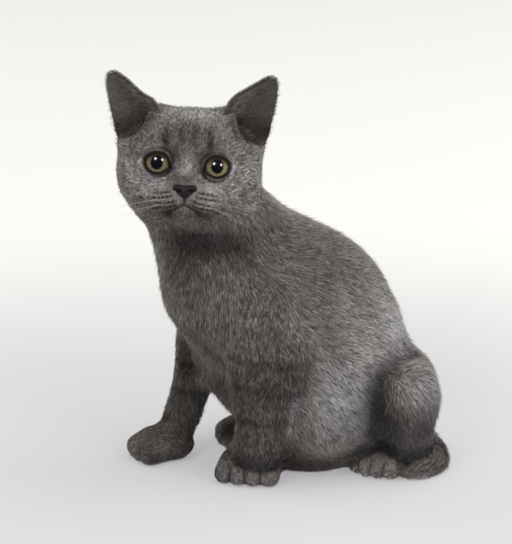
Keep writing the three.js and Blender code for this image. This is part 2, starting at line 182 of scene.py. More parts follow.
def edit(obj, operator, **settings):
    """Runs an edit-mode operator on the whole of an object."""
    only(obj)
    bpy.ops.object.mode_set(mode="EDIT")
    bpy.ops.mesh.select_all(action="SELECT")
    operator(**settings)
    bpy.ops.object.mode_set(mode="OBJECT")
    return obj


def face_outwards(obj):
    return edit(obj, bpy.ops.mesh.normals_make_consistent, inside=False)


def wall(rows, around, closed=False):
    """The triangles between rows of points, each row a ring. Closed joins the last to the first."""
    r, i = np.meshgrid(np.arange(rows - (not closed)), np.arange(around), indexing="ij")
    a, b = r * around + i, r * around + (i + 1) % around
    c, d = (b + around) % (rows * around), (a + around) % (rows * around)
    return np.concatenate([np.stack(f, -1).reshape(-1, 3) for f in ((a, b, c), (a, c, d))])


def merged_copy(names, name):
    """CAD nodes copied into one new object, with their loose triangles merged."""
    bpy.ops.object.select_all(action="DESELECT")
    for node in names:
        copy = link(name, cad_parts[node].data.copy())
        copy.select_set(True)
        bpy.context.view_layer.objects.active = copy
    bpy.ops.object.join()
    made = bpy.context.object
    made.name = name
    return edit(made, bpy.ops.mesh.remove_doubles, threshold=1e-6)


class Net:
    """The edges of a mesh, over which values are spread and points smoothed."""

    def __init__(self, mesh):
        self.a, self.b = read(mesh.edges, "vertices", 2, np.int32).T
        self.count = len(mesh.vertices)
        ends = np.bincount(self.a, minlength=self.count) + np.bincount(self.b, minlength=self.count)
        self.degree = np.maximum(ends, 1)

    def mean(self, values):
        """The mean of each point's neighbours."""
        if values.ndim > 1:
            return np.stack([self.mean(column) for column in values.T], 1)
        total = np.bincount(self.a, values[self.b], self.count)
        total += np.bincount(self.b, values[self.a], self.count)
        return total / self.degree

    def spread(self, values, rounds):
        for _ in range(rounds):
            values = (values + self.mean(values)) / 2
        return values

    def smoothed(self, points, rounds, weight=1.0):
        """Points smoothed with hardly any shrinking, by rounds of a push and a push back."""
        weight = np.reshape(weight, (-1, 1)) if np.ndim(weight) else weight
        for _ in range(rounds):
            for push in (0.5, -0.53):
                points = points + push * weight * (self.mean(points) - points)
        return points


# ---- where the head is
# The head's own axes: x to its left, -y the way the face looks, z up.
HEAD_YAW, HEAD_PITCH, HEAD_ROLL = radians(68), radians(7), radians(2.4)
HEAD_AXES = np.array(
    Matrix.Rotation(HEAD_YAW, 3, "Z")
    @ Matrix.Rotation(-HEAD_PITCH, 3, "X")
    @ Matrix.Rotation(HEAD_ROLL, 3, "Y")
).T


def middle_of(node):
    low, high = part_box(node)
    return np.array((low + high) / 2) / MM


eye_middles = {side: middle_of("eye_" + name) for side, name in SIDES}
EYE_RADIUS = float(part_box("eye_left")[1][2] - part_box("eye_left")[0][2]) / 2 / MM
FACE_MIDDLE = (eye_middles[1] + eye_middles[-1]) / 2


def to_head(points):
    """Row frame to the head's frame: x to its left, -y the way the face looks, z up."""
    return (points - FACE_MIDDLE) @ HEAD_AXES.T


def from_head(points):
    return FACE_MIDDLE + np.asarray(points, float) @ HEAD_AXES


def mirrored(h):
    """Points in the head's frame with its right half laid over its left."""
    return np.stack([np.abs(h[:, 0]), h[:, 1], h[:, 2]], 1)


EYE_AT = {side: to_head(middle) for side, middle in eye_middles.items()}


# ---- camera, floor and light
AZIMUTH, ELEVATION = radians(70), radians(16)
REACH = 1.5
TARGET = Vector((-0.00289, 0.01183, 0))
SLIDE_RIGHT, SLIDE_UP = -0.02266, 0.09785
LIT_MIDDLE = TARGET + Vector((0, 0, 0.12))
LENS = 192.75

back = Vector((sin(AZIMUTH) * cos(ELEVATION), -cos(AZIMUTH) * cos(ELEVATION), sin(ELEVATION)))
right = Vector((cos(AZIMUTH), sin(AZIMUTH), 0))
up = back.cross(right)
camera = link("camera", bpy.data.cameras.new("camera"))
camera.matrix_world = Matrix.Translation(
    TARGET + REACH * back + SLIDE_RIGHT * right + SLIDE_UP * up
) @ Matrix((right, up, back)).transposed().to_4x4()
camera.data.lens = LENS
camera.data.clip_end = 30
bpy.context.scene.camera = camera
bpy.context.scene.view_settings.view_transform = "Standard"


def softbox(name, direction, reach, size, power, tint, in_eyes=True):
    """A square soft light that shines at the kitten from a direction in the camera's frame."""
    way = (right * direction[0] + up * direction[1] + back * direction[2]).normalized()
    light = bpy.data.lights.new(name, "AREA")
    light.shape = "SQUARE"
    light.size = size
    light.energy = power
    light.color = tint
    lamp = link(name, light)
    lamp.visible_glossy = in_eyes
    turned = way.to_track_quat("Z", "Y").to_matrix().to_4x4()
    lamp.matrix_world = Matrix.Translation(LIT_MIDDLE + way * reach) @ turned


softbox("key_light", (-0.37, 0.32, 0.87), 1.7, 0.50, 8.5, (1, 0.985, 0.96))
softbox("fill_light", (0.60, 0.17, 0.78), 1.7, 0.42, 7.0, (1, 1, 1))
softbox("side_light", (0.93, 0.25, 0.05), 1.7, 1.2, 17, (0.98, 0.985, 1), False)
softbox("back_light", (0.75, 0.55, -0.50), 1.8, 1.4, 9, (0.97, 0.98, 1), False)
softbox("rim_light", (-0.85, 0.25, -0.45), 1.8, 1.2, 14, (1, 0.99, 0.98), False)
softbox("top_light", (0.05, 0.80, 0.56), 1.9, 1.7, 14, (1, 0.99, 0.975), False)

world = bpy.data.worlds.new("studio")
world.use_nodes = True
background = world.node_tree.nodes["Background"].inputs
background["Color"].default_value = (0.90, 0.905, 0.88, 1)
background["Strength"].default_value = 0.48
bpy.context.scene.world = world
world.cycles_visibility.glossy = False


# ---- a material's nodes
class Value:
    """A number that changes over a surface: one socket of a material's nodes."""

    def __init__(self, finish, socket):
        self.finish, self.socket = finish, socket

    def math(self, operation, *terms):
        sockets = dict(enumerate(terms))
        return self.finish.node("ShaderNodeMath", {"operation": operation}, sockets)

    __add__ = __radd__ = lambda self, other: self.math("ADD", self, other)
    __sub__ = lambda self, other: self.math("SUBTRACT", self, other)
    __rsub__ = lambda self, other: self.math("SUBTRACT", other, self)
    __mul__ = __rmul__ = lambda self, other: self.math("MULTIPLY", self, other)
    __truediv__ = lambda self, other: self.math("DIVIDE", self, other)
    __pow__ = lambda self, other: self.math("POWER", self, other)

    def between(self, low, high):
        """0 below low, 1 above high, smooth between."""
        settings = {"interpolation_type": "SMOOTHSTEP"}
        sockets = {"Value": self, "From Min": low, "From Max": high}
        return self.finish.node("ShaderNodeMapRange", settings, sockets)


class Finish:
    """A material under construction."""

    def __init__(self, name):
        self.material = bpy.data.materials.new(name)
        self.material.use_nodes = True
        self.tree = self.material.node_tree
        self.tree.nodes.clear()

    def node(self, kind, settings=None, sockets=None, output=0):
        """Adds a node: its settings first, then the values or links of its sockets."""
        made = self.tree.nodes.new(kind)
        for key, value in (settings or {}).items():
            if key == "stops":
                while len(made.color_ramp.elements) < len(value):
                    made.color_ramp.elements.new(1)
                for element, (place, colour) in zip(made.color_ramp.elements, value):
                    element.position, element.color = place, (*colour, 1)
            else:
                setattr(made, key, value)
        for key, value in (sockets or {}).items():
            if isinstance(value, Value):
                self.tree.links.new(value.socket, made.inputs[key])
            else:
                made.inputs[key].default_value = value
        return Value(self, made.outputs[output]) if made.outputs else None

    def place(self):
        """Where the surface is, in metres."""
        return self.node("ShaderNodeTexCoord", output="Object")

    def value(self, name):
        """A number stored on the mesh's points."""
        return self.node("ShaderNodeAttribute", {"attribute_name": name}, output="Fac")

    def noise(self, size, detail=2.0, rough=0.5, at=None):
        """Soft noise, 0 to 1, with features of a size in millimetres."""
        sockets = {
            "Vector": at or self.place(),
            "Scale": 1 / (size * MM),
            "Detail": detail,
            "Roughness": rough,
        }
        return self.node("ShaderNodeTexNoise", {}, sockets)

    def blend(self, share, first, second, kind="MIX"):
        """Two colours mixed by a share."""
        sockets = {0: share}
        for key, colour in ((6, first), (7, second)):
            sockets[key] = colour if isinstance(colour, Value) else (*colour, 1)
        return self.node("ShaderNodeMix", {"data_type": "RGBA", "blend_type": kind}, sockets, 2)

    def bump(self, height, distance, strength=1.0):
        """A bump of a height, 0 to 1, over a distance in millimetres."""
        sockets = {"Height": height, "Distance": distance * MM, "Strength": strength}
        return self.node("ShaderNodeBump", {}, sockets)

    def close(self, **sockets):
        """Ends the material in a Principled shader. A socket's name is written with _ for space."""
        named = {key.replace("_", " "): value for key, value in sockets.items()}
        for key, value in named.items():
            if isinstance(value, tuple) and len(value) == 3:
                named[key] = (*value, 1)
        shader = self.node("ShaderNodeBsdfPrincipled", {}, named)
        self.node("ShaderNodeOutputMaterial", {}, {"Surface": shader})
        return self.material


def floor_finish():
    finish = Finish("studio_floor")
    place = finish.place()
    far = finish.node("ShaderNodeVectorMath", {"operation": "LENGTH"}, {0: place}, output=1)
    # Darker near the kitten and lighter farther out, and glowing: painted light that lifts the shadows
    # round the kitten and brightens the far floor.
    share = (far + finish.noise(400, 1.0) * 0.1).between(0.18, 0.60)
    colour = finish.blend(share, (0.34, 0.34, 0.34), (0.50, 0.50, 0.485))
    shadow_lifting_glow = finish.blend(share, (0.355, 0.345, 0.357), (0.43, 0.43, 0.41))
    return finish.close(
        Base_Color=colour, Roughness=0.9, Specular_IOR_Level=0.1, Emission_Color=shadow_lifting_glow,
        Emission_Strength=1.0,
    )  # fmt: skip


only(camera)
bpy.ops.mesh.primitive_circle_add(
    vertices=96, radius=6, fill_type="NGON", location=(0, 0, -0.0003)
)
floor = bpy.context.object
floor.name = "floor"
bpy.ops.object.transform_apply(location=True)
floor.data.materials.append(floor_finish())
floor.visible_glossy = False


# ---- the lie and length of the coat
# For each part of the body: the coat's depth over the skin, the length and width of a tuft in
# millimetres, and how closely tufts stand, as against the other parts. The head's are worked out
# anew below, by the distance to the nose, eyes and ears.
COAT = {
    "head": (2.2, 4.2, 0.30, 4.6),
    "neck": (3.4, 5.4, 0.33, 3.7),
    "trunk": (3.6, 5.4, 0.33, 3.5),
    "foreleg": (2.4, 4.2, 0.30, 4.2),
    "forepaw": (0.8, 1.7, 0.21, 8.5),
    "haunch": (3.4, 5.3, 0.33, 3.5),
    "hindpaw": (0.8, 1.8, 0.22, 7.5),
    "tail": (2.8, 6.0, 0.36, 3.2),
    "ear": (0.5, 2.0, 0.24, 5.0),
}
PARTS = FLESH + EARS
# The middle of each paw on the floor, the way it points, in degrees from -Y towards +X, and how
# far its toes are spread.
PAWS = {
    "forepaw_left": (11.1, -20.0, 56, 1.2),
    "forepaw_right": (-35.5, -51.1, 4, 1.0),
    "hindpaw_left": (22.3, 47.4, 43, 1.0),
    "hindpaw_right": (-40.9, -2.7, -8, 1.0),
}
TAIL_ROUTE = np.array(
    [(-17, 56, 20), (-3, 69, 12), (14, 74, 8), (30, 73, 6.5), (37.5, 65, 6), (39, 55, 5.5)]
)


def kind_of(part):
    return part.removesuffix("_left").removesuffix("_right")


def nearest_parts(points):
    """For each point, the number in PARTS of the CAD node that lies nearest."""
    corners, triangles, owners = [], [], []
    for number, part in enumerate(PARTS):
        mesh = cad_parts[part].data
        faces = read(mesh.polygons, "vertices", 3, np.int32)
        triangles.append(faces + sum(map(len, corners)))
        owners.append(np.full(len(mesh.polygons), number))
        corners.append(points_of(mesh))
    tree = BVHTree.FromPolygons(np.concatenate(corners).tolist(), np.concatenate(triangles).tolist())
    return np.concatenate(owners)[[tree.find_nearest(p)[2] for p in points.tolist()]]


def toward(points, route):
    """The direction of a route at the place on it that is nearest to each point."""
    starts, ways = route[:-1], unit(np.diff(route, axis=0))
    middles = (starts + route[1:]) / 2
    gap = np.linalg.norm(points[:, None] - middles[None], axis=2)
    share = np.exp(-gap / 6)
    return unit(share @ ways)


def lie_of_coat(points, owners):
    """The way the tufts point at each place, before it is laid along the skin."""
    lie = np.zeros_like(points)
    for number, part in enumerate(PARTS):
        mine = owners == number
        p = points[mine]
        kind = kind_of(part)
        if kind in ("head", "ear"):  # away from the nose and the eyes, and down at the back
            h = to_head(p)
            away = unit(h - (0, -8, -10))
            for side in (1, -1):
                from_eye = h - (EYE_AT[side] + (0, -2, -1))
                near = bell(np.linalg.norm(from_eye, axis=1), 9.5)
                away = away + 1.6 * near[:, None] * unit(from_eye)
            away += np.array((0, 0.2, -0.55)) * step(2, 26, h[:, 1])[:, None]
            lie[mine] = unit(away) @ HEAD_AXES
        elif kind == "neck":
            lie[mine] = np.stack([0.015 * (p[:, 0] + 8), 0.012 * (p[:, 1] + 40), -1 + 0 * p[:, 0]], 1)
        elif kind == "trunk":  # down the chest, backwards over the back and along the belly
            rear, low = step(-45, 10, p[:, 1]), step(75, 25, p[:, 2])
            lie[mine] = np.stack(
                [0.01 * p[:, 0], 0.1 + 0.9 * rear * (1 - 0.75 * low), -0.62 - 0.4 * (1 - rear)], 1
            )
            under = step(30, 12, p[:, 2])[:, None]
            lie[mine] = lie[mine] * (1 - 0.8 * under) + under * (0.1, 0.6, 0)
        elif kind == "haunch":
            lie[mine] = (0.0, 0.35, -0.9)
        elif kind == "foreleg":
            lie[mine] = (0.0, 0.06, -1.0)
        elif kind == "tail":
            lie[mine] = toward(p, TAIL_ROUTE)
        else:
            turn = radians(PAWS[part][2])
            lie[mine] = (sin(turn), -cos(turn), -0.35)
    return unit(lie)


# ---- folds of the coat
# Lines in the row frame along which the coat parts: the hollow between belly and haunch, the
# crease behind the near foreleg and the one under the chest. Along them the coat is painted darker,
# painted shade. The leg's edge is only a pale mark, painted light.
HAUNCH_FOLD = np.array(
    [
        (29, 58, 59), (37, 47, 57.5), (40.5, 38.5, 56), (43, 37, 48),
        (41, 36.5, 37), (34, 39.5, 24), (32, 43, 15),
    ]
)  # fmt: skip
LEG_FOLD = np.array([(39, 2, 69), (41, -3.7, 60), (39, -4.4, 43), (35, -4.9, 26), (28, -4.4, 12)])
LEG_EDGE = np.array([(37, -5, 66), (37.2, -6, 53), (35, -7, 38), (31.5, -8, 24)])
CHEST_FOLD = np.array(
    [(-6, -49, 80), (1.6, -44.8, 74.7), (5.3, -38.2, 69.4), (8.6, -30.6, 63), (19.3, -26.2, 57.6)]
)


# ---- skin
SKIN_SWELL = 0.45  # closes the thin cuts between the CAD nodes
FLESH_VOXEL, SKIN_VOXEL = 1.6, 1.5
FLOOR_GAP = 0.8  # the skin's lowest level, so that there is room for fur under it
# How much each part is smoothed: 1 where it isn't named.
SOFTNESS = {"head": 0.3, "forepaw": 0.3, "hindpaw": 0.2, "foreleg": 0.6}
# The skin goes in by the coat's depth less FOLD_CLOSING, is meshed anew, and then goes in by the
# rest, so that gaps narrower than twice that are closed.
FOLD_CLOSING = 1.4

# The outside of the coat: the CAD surface with its cuts closed, smoothed.
skin = merged_copy(FLESH + ["eye_left", "eye_right", "nose"], "kitten_skin")
move_points(skin.data, points_of(skin.data) + SKIN_SWELL * normals_of(skin.data))
remesh(skin, FLESH_VOXEL)
net = Net(skin.data)
flesh = points_of(skin.data)
owners = nearest_parts(flesh)
kinds = np.array([kind_of(part) for part in PARTS])
softness = np.array([SOFTNESS.get(kind, 1.0) for kind in kinds])[owners]
broad = net.spread((softness == 1).astype(float), 6)
flesh = net.smoothed(flesh, 50, net.spread(softness, 3))
flesh = net.smoothed(flesh, 90, broad * step(8, 25, flesh[:, 2]))
# The coat's depth: less near the floor and on the face, and more where it parts in a fold.
depth = net.spread(np.array([COAT[kind][0] for kind in kinds])[owners], 12)
depth = np.minimum(depth, 1.4 + 0.13 * flesh[:, 2])
h = to_head(flesh)
from_nose = np.linalg.norm(h - (0, -12, -10), axis=1)
on_head = net.spread((kinds[owners] == "head").astype(float), 3)
depth = depth + on_head * (np.clip(0.7 + 0.034 * from_nose, 0.9, 2.8) - depth)
move_points(skin.data, flesh)
for deeper, fold, wide in ((4.5, HAUNCH_FOLD, 5), (2.2, LEG_FOLD, 3.5), (1.8, CHEST_FOLD, 3.5)):
    depth = depth + deeper * bell(from_line(flesh, fold), wide)
flesh = flesh - (depth - FOLD_CLOSING)[:, None] * net.spread(normals_of(skin.data), 2)
move_points(skin.data, flesh)
remesh(skin, SKIN_VOXEL)
net = Net(skin.data)
flesh = net.smoothed(points_of(skin.data), 5)
move_points(skin.data, flesh)
flesh = flesh - FOLD_CLOSING * net.spread(normals_of(skin.data), 4)
flesh[:, 2] = np.maximum(flesh[:, 2], FLOOR_GAP)
move_points(skin.data, net.smoothed(flesh, 3))


def refine(obj, wanted):
    """Subdivides the faces whose middle, in the head's frame, is wanted."""
    only(obj)
    mesh = obj.data
    chosen = wanted(to_head(read(mesh.polygons, "center", 3) / MM))
    mesh.edges.foreach_set("select", np.zeros(len(mesh.edges), bool))
    mesh.vertices.foreach_set("select", np.zeros(len(mesh.vertices), bool))
    mesh.polygons.foreach_set("select", chosen)
    bpy.ops.object.mode_set(mode="EDIT")
    bpy.ops.mesh.select_mode(type="FACE")
    bpy.ops.mesh.subdivide(number_cuts=1, smoothness=0)
    bpy.ops.object.mode_set(mode="OBJECT")


# How far each eye looks outwards and up, left and right, in degrees.
EYE_GAZE = {1: (5, 4), -1: (2.5, -2)}
OPENING = 6.25  # radius of the round opening in the skin, seen along the gaze
LID, LID_REACH = 0.6, 0.93  # how far the lids stand off the eyeball, and how much they follow it
SOCKET = 1.3  # how far inside the eyeball's surface the skin lies behind its opening


def by_eyes(h):
    """Each point's distance to the middle of the nearer eye."""
    return np.linalg.norm(h - np.where(h[:, :1] > 0, EYE_AT[1], EYE_AT[-1]), axis=1)


def front(h):
    return (h[:, 1] < 4) & (np.abs(h[:, 0]) < 29) & (h[:, 2] > -31) & (h[:, 2] < 16)


MOUTH = np.array(  # the groove under the nose and the lips: out and up, in the head's frame
    [(0, -14), (0, -18.3), (2.7, -19.9), (5.8, -21.4), (8.9, -23.7), (11.3, -25.4), (14.5, -26.6)]
)


def mouth_gap(h):
    """Distance, seen from the front, to the line of the mouth."""
    return np.where(h[:, 1] < 0, from_line(np.stack([np.abs(h[:, 0]), h[:, 2]], 1), MOUTH), 1e3)


def eye_axes(side):
    """The eye's own axes in the head's frame: outwards, the way it looks, up."""
    out, rise = np.radians(EYE_GAZE[side]) * (side, 1)
    level = cos(rise)
    look = np.array((sin(out) * level, -cos(out) * level, sin(rise)))
    outward = unit(np.cross(look, (0, 0, 1))) * -side
    return np.stack([outward, look, side * np.cross(look, outward)])


INNER_CORNER, OUTER_CORNER = 203, 8  # the opening's corners, in degrees round from outwards


def corner(turn, middle, width):
    """1 in the direction of a corner of the eye, fading out over a width in radians."""
    return bell(np.angle(np.exp(1j * (turn - radians(middle)))), width)


def opening_at(turn):
    """Radius of the opening in a direction: 0 is outwards, a quarter turn is up."""
    corners = 0.75 * corner(turn, INNER_CORNER, 0.27) + 0.25 * corner(turn, OUTER_CORNER, 0.4)
    return OPENING + corners - 0.12 * np.sin(turn) - 0.6 * np.sin(turn) ** 2


def by_gaze(h, side):
    """Points in an eye's own axes, and how far outside its opening each is, seen along the gaze."""
    d = (h - EYE_AT[side]) @ eye_axes(side).T
    return d, np.hypot(d[:, 0], d[:, 2]) - opening_at(np.arctan2(d[:, 2], d[:, 0]))


def lids(h):
    """Draws the skin over each eyeball round its opening, and behind it inside the opening."""
    for side in (1, -1):
        d, rim = by_gaze(h, side)
        from_axis = np.hypot(d[:, 0], d[:, 2])
        lid = EYE_RADIUS + LID
        over = np.sqrt(np.maximum(lid**2 - np.minimum(from_axis, LID_REACH * lid) ** 2, 0))
        over = over - 1.6 * np.maximum(from_axis - LID_REACH * lid, 0)
        under = np.sqrt(np.maximum((EYE_RADIUS - SOCKET) ** 2 - from_axis**2, 0.5))
        hold = step(6.5, 0.6, rim)
        ahead = d[:, 1] + hold * (over - d[:, 1])
        ahead = under + (ahead - under) * step(-0.28, 0.05, rim)
        near = (from_axis < 13) & (d[:, 1] > -9) & (h[:, 1] < 9)
        moved = d + np.stack([0 * rim, ahead - d[:, 1], 0 * rim], 1)
        h = np.where(near[:, None], EYE_AT[side] + moved @ eye_axes(side), h)
    return h


def from_gaze(h):
    """Distance from the nearer eye's line of sight, far away for what lies behind the eyes."""
    gaps = []
    for side in (1, -1):
        d = (h - EYE_AT[side]) @ eye_axes(side).T
        gaps.append(np.where(d[:, 1] > -4, np.hypot(d[:, 0], d[:, 2]), 99))
    return np.minimum(*gaps)


NOSE_MIDDLE = np.array((0, -14.6, -11.0))
TOE_GAPS = (-6.4, 0.0, 6.4)
TOES = (-9.6, -3.2, 3.2, 9.6)


def to_paw(points, paw):
    """Row frame to a paw's own: x across, -y towards the toes, z up."""
    x, y, heading, spread = PAWS[paw]
    c, s = cos(radians(heading)), sin(radians(heading))
    px, py = points[..., 0] - x, points[..., 1] - y
    return np.stack([(c * px + s * py) / spread, c * py - s * px, points[..., 2]], -1)


def toe_gaps(points, width):
    """1 in the clefts between the toes, fading out over a width."""
    total = 0
    for paw in PAWS:
        x, y, z = to_paw(points, paw).T
        here = step(-7, -12, y) * step(-21, -18, y) * step(11, 6, z)
        for gap in TOE_GAPS:
            total = total + here * bell(x - gap * (1 - 0.02 * (y + 12)), width)
    return np.clip(total, 0, 1)


def toe_tops(points):
    """1 along the top of each toe."""
    total = 0
    for paw in PAWS:
        x, y, z = to_paw(points, paw).T
        here = step(0, -6, y) * step(-23, -18, y) * step(17, 10, z)
        for middle in TOES:
            total = total + here * bell(x - middle, 2.0)
    return np.clip(total, 0, 1)


def on_toes(points):
    """1 on the front half of each paw."""
    total = 0
    for paw in PAWS:
        x, y, z = to_paw(points, paw).T
        total = total + step(17, 13, np.abs(x)) * step(1, -6, y) * step(-25, -20, y) * step(16, 10, z)
    return np.clip(total, 0, 1)


def near_toes(h):
    near = False
    for paw in PAWS:
        x, y, z = to_paw(from_head(h), paw).T
        near = near | (np.abs(x) < 16) & (y < -2) & (y > -22) & (z < 15)
    return near


def round_eyes(h, low, high):
    return (from_gaze(h) < high) & (from_gaze(h) > low)


# Finer faces on face and toes, finer still round eyes and mouth, and finest along the lids.
refine(skin, lambda h: front(h) | near_toes(h))
refine(skin, lambda h: front(h) & (round_eyes(h, 3.5, 10.5) | (mouth_gap(h) < 2.0)))
refine(skin, lambda h: front(h) & round_eyes(h, 5.0, 8.4) & (h[:, 1] < 0))

# Where the face stands out or in, in millimetres, in the head's frame, alike on both sides.
FACE_FORM = [
    (2.3, (7.6, -15, -16.3), (5.8, 9, 4.0)),  # whisker pads
    (0.5, (0, -14, -26), (5, 9, 3)),  # chin
    (-0.7, (8.8, -6, -2), (2.6, 9, 5)),  # beside the bridge of the nose
    (1.5, (13.5, -6, 9.8), (7, 9, 3.4)),  # brows
    (1.2, (24, 2, -19), (10, 14, 9)),  # cheeks
]
# The pits behind the haunches, where thighs, rump and tail meet. They are filled.
PITS = [(1, (16, 58, 46), (9, 8, 15)), (0.7, (33, 60, 16), (8, 6, 6)), (1, (2, 71, 50), (11, 12, 15))]

# Paws are rounded, pits filled, toes and face drawn.
net = Net(skin.data)
flesh = points_of(skin.data)
paws = sum(spot(to_paw(flesh, paw), (0, -12, 6), (13, 9, 9)) for paw in PAWS)
flesh += (0.9 * np.clip(1.4 * paws, 0, 1))[:, None] * (net.spread(flesh, 14) - flesh)
flesh += np.clip(1.5 * spots(flesh, PITS), 0, 1)[:, None] * (net.spread(flesh, 60) - flesh)
toes = 0.6 * toe_tops(flesh) - 0.5 * toe_gaps(flesh, 0.8) * step(2.5, 5, flesh[:, 2])
flesh = flesh + toes[:, None] * net.spread(normals_of(skin.data), 2)
flesh[:, 2] = np.maximum(flesh[:, 2], FLOOR_GAP)
h = to_head(flesh)
is_front = step(2, -6, h[:, 1]) * step(-36, -30, h[:, 2])
across = mirrored(h)
rise = spots(across, FACE_FORM)
rise -= 0.6 * bell(mouth_gap(h), 1.1) * step(10.5, 6.5, across[:, 0])
rise *= is_front
rise -= 3.8 * spot(h, (5, 6, -39.5), (20, 15, 6))  # throat
h = h + rise[:, None] * (net.spread(normals_of(skin.data), 3) @ HEAD_AXES.T)
# Each ear opens into a hollow that reaches far down the side of the brow.
BROW = np.array([(17, 30), (20, 19.5), (22, 14), (26, 9), (34, 6.5)])  # out, up
brow = np.interp(across[:, 0], *BROW.T)
by_ear = step(33, 28, h[:, 1]) * step(2, 8, h[:, 1])
hollow = step(0.2, 2.5, h[:, 2] - brow) * by_ear
h[:, 2] -= np.maximum(h[:, 2] - brow, 0) * by_ear
h = net.smoothed(h, 6, np.clip(net.spread(hollow, 3) * 1.5, 0, 1))
h[:, 1] += 2.2 * spot(h, NOSE_MIDDLE, (5.5, 8, 4.2)) * is_front  # room for the nose leather
h = lids(h)
past = from_gaze(h) - OPENING
ring = step(1.0, 2.2, past) * step(7.5, 5, past) * (h[:, 1] < 8)
h = net.smoothed(h, 12, net.spread(ring, 2))
move_points(skin.data, from_head(h))
write_values(skin, ear_hollow=np.clip(1.3 * net.spread(hollow, 2), 0, 1))
skin.data.shade_smooth()


# ---- ears
# In millimetres and in the head's frame. The lean, the turn and the tilt are in degrees.
EAR_HEIGHT, EAR_WIDTH, EAR_CUP, EAR_WALL = 33.6, 28, 8, 1.3
EAR_ROOT = (24.8, 22.6, 11)
EAR_LEAN = {1: 18.5, -1: 22.5}
EAR_TURN, EAR_TILT = 22, -4
EAR_ROWS, EAR_ACROSS = 46, 36
# How far each ear's inner edge spreads towards the crown, at what level, over what reach.
EAR_FLARE = {1: (3.6, 0.50, 0.24), -1: (3.0, 0.38, 0.12)}
EAR_SUNK = -0.32  # the root's level inside the skull, as a share of the height


def ear_frame(side):
    """A matrix from an ear's own frame to the head's."""
    lean = Matrix.Rotation(side * radians(EAR_LEAN[side]), 4, "Y")
    turn = Matrix.Rotation(side * radians(EAR_TURN), 4, "Z")
    tilt = Matrix.Rotation(radians(EAR_TILT), 4, "X")
    place = Matrix.Translation((side * EAR_ROOT[0], EAR_ROOT[1], EAR_ROOT[2]))
    return np.array(place @ lean @ turn @ tilt)


def ear_shell(side):
    """Points of an ear, its inner wall first, with how far up and across each one is."""
    level = 1 - (1 - EAR_SUNK) * np.linspace(1, 0.045, EAR_ROWS) ** 1.35
    u = np.sin(np.linspace(-1, 1, EAR_ACROSS) * pi / 2 * 0.93) / sin(pi / 2 * 0.93)
    t, u = np.meshgrid(level, u, indexing="ij")
    t0 = np.clip(t, 0, 1)
    half = (EAR_WIDTH / 2 - 0.5) * np.sqrt(1 - t0**1.9) * (1 - 0.28 * t0) + 2.5 * np.minimum(t, 0)
    cup = EAR_CUP * (1 - t0) ** 0.8
    lean = side * 5.5 * t0**1.4
    outer = side * u
    pocket = spot(np.stack([outer, t], -1), (0.9, 0.2), (0.22, 0.07))
    fold = spot(np.stack([outer, t], -1), (-0.55, 0.12), (0.2, 0.3))
    walls = []
    height, level, reach = EAR_FLARE[side]
    flare = height * bell(t - level, reach) * np.maximum(-outer, 0) ** 1.6
    for offset in (0.5, 0.5 + EAR_WALL):
        back = cup * (1 - u * u) + offset * np.sqrt(np.maximum(0.1, 1 - u**4))
        back = back - 1.0 * fold + 1.4 * pocket
        x = u * half + lean + side * (1.1 * pocket - flare)
        walls.append(np.stack([x, back, t * EAR_HEIGHT], -1))
    pairs = (walls, (np.ones_like(u), -np.ones_like(u)), (t, t), (outer, outer))
    return [np.concatenate([inside, outside[:, ::-1]], 1) for inside, outside in pairs]


def ear(side, name):
    """An ear as a closed shell, with what the coat's rules read from it."""
    points, facing, up_share, outward = ear_shell(side)
    rows, around = facing.shape
    caps = []
    for base in (0, (rows - 1) * around):
        for i in range(EAR_ACROSS - 1):
            a, b, c, d = base + i, base + i + 1, base + around - 1 - i, base + around - 2 - i
            caps += [(a, d, b), (a, c, d)] if base else [(a, b, d), (a, d, c)]
    triangles = np.concatenate([wall(rows, around), np.array(caps)])
    own = np.concatenate([points.reshape(-1, 3), np.ones((rows * around, 1))], 1)
    made = piece_from(name, from_head((own @ ear_frame(side).T)[:, :3]), triangles)
    write_values(made, facing=facing, up_share=up_share, outward=outward)
    return face_outwards(made)


for side, name in SIDES:
    ear(side, "ear_shell_" + name)
    skin.select_set(True)
    bpy.context.view_layer.objects.active = skin
    bpy.ops.object.join()
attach(skin, "root")
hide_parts(*FLESH, *EARS)


# ---- eyes and lids
def sphere(name, segments, rings):
    """A round primitive at the origin with its poles along Y, in millimetres of radius one."""
    bpy.ops.object.select_all(action="DESELECT")
    bpy.ops.mesh.primitive_uv_sphere_add(
        segments=segments, ring_count=rings, radius=MM, rotation=(pi / 2, 0, 0)
    )
    obj = bpy.context.object
    bpy.ops.object.transform_apply(rotation=True)
    obj.name = obj.data.name = name
    obj.data.shade_smooth()
    return obj


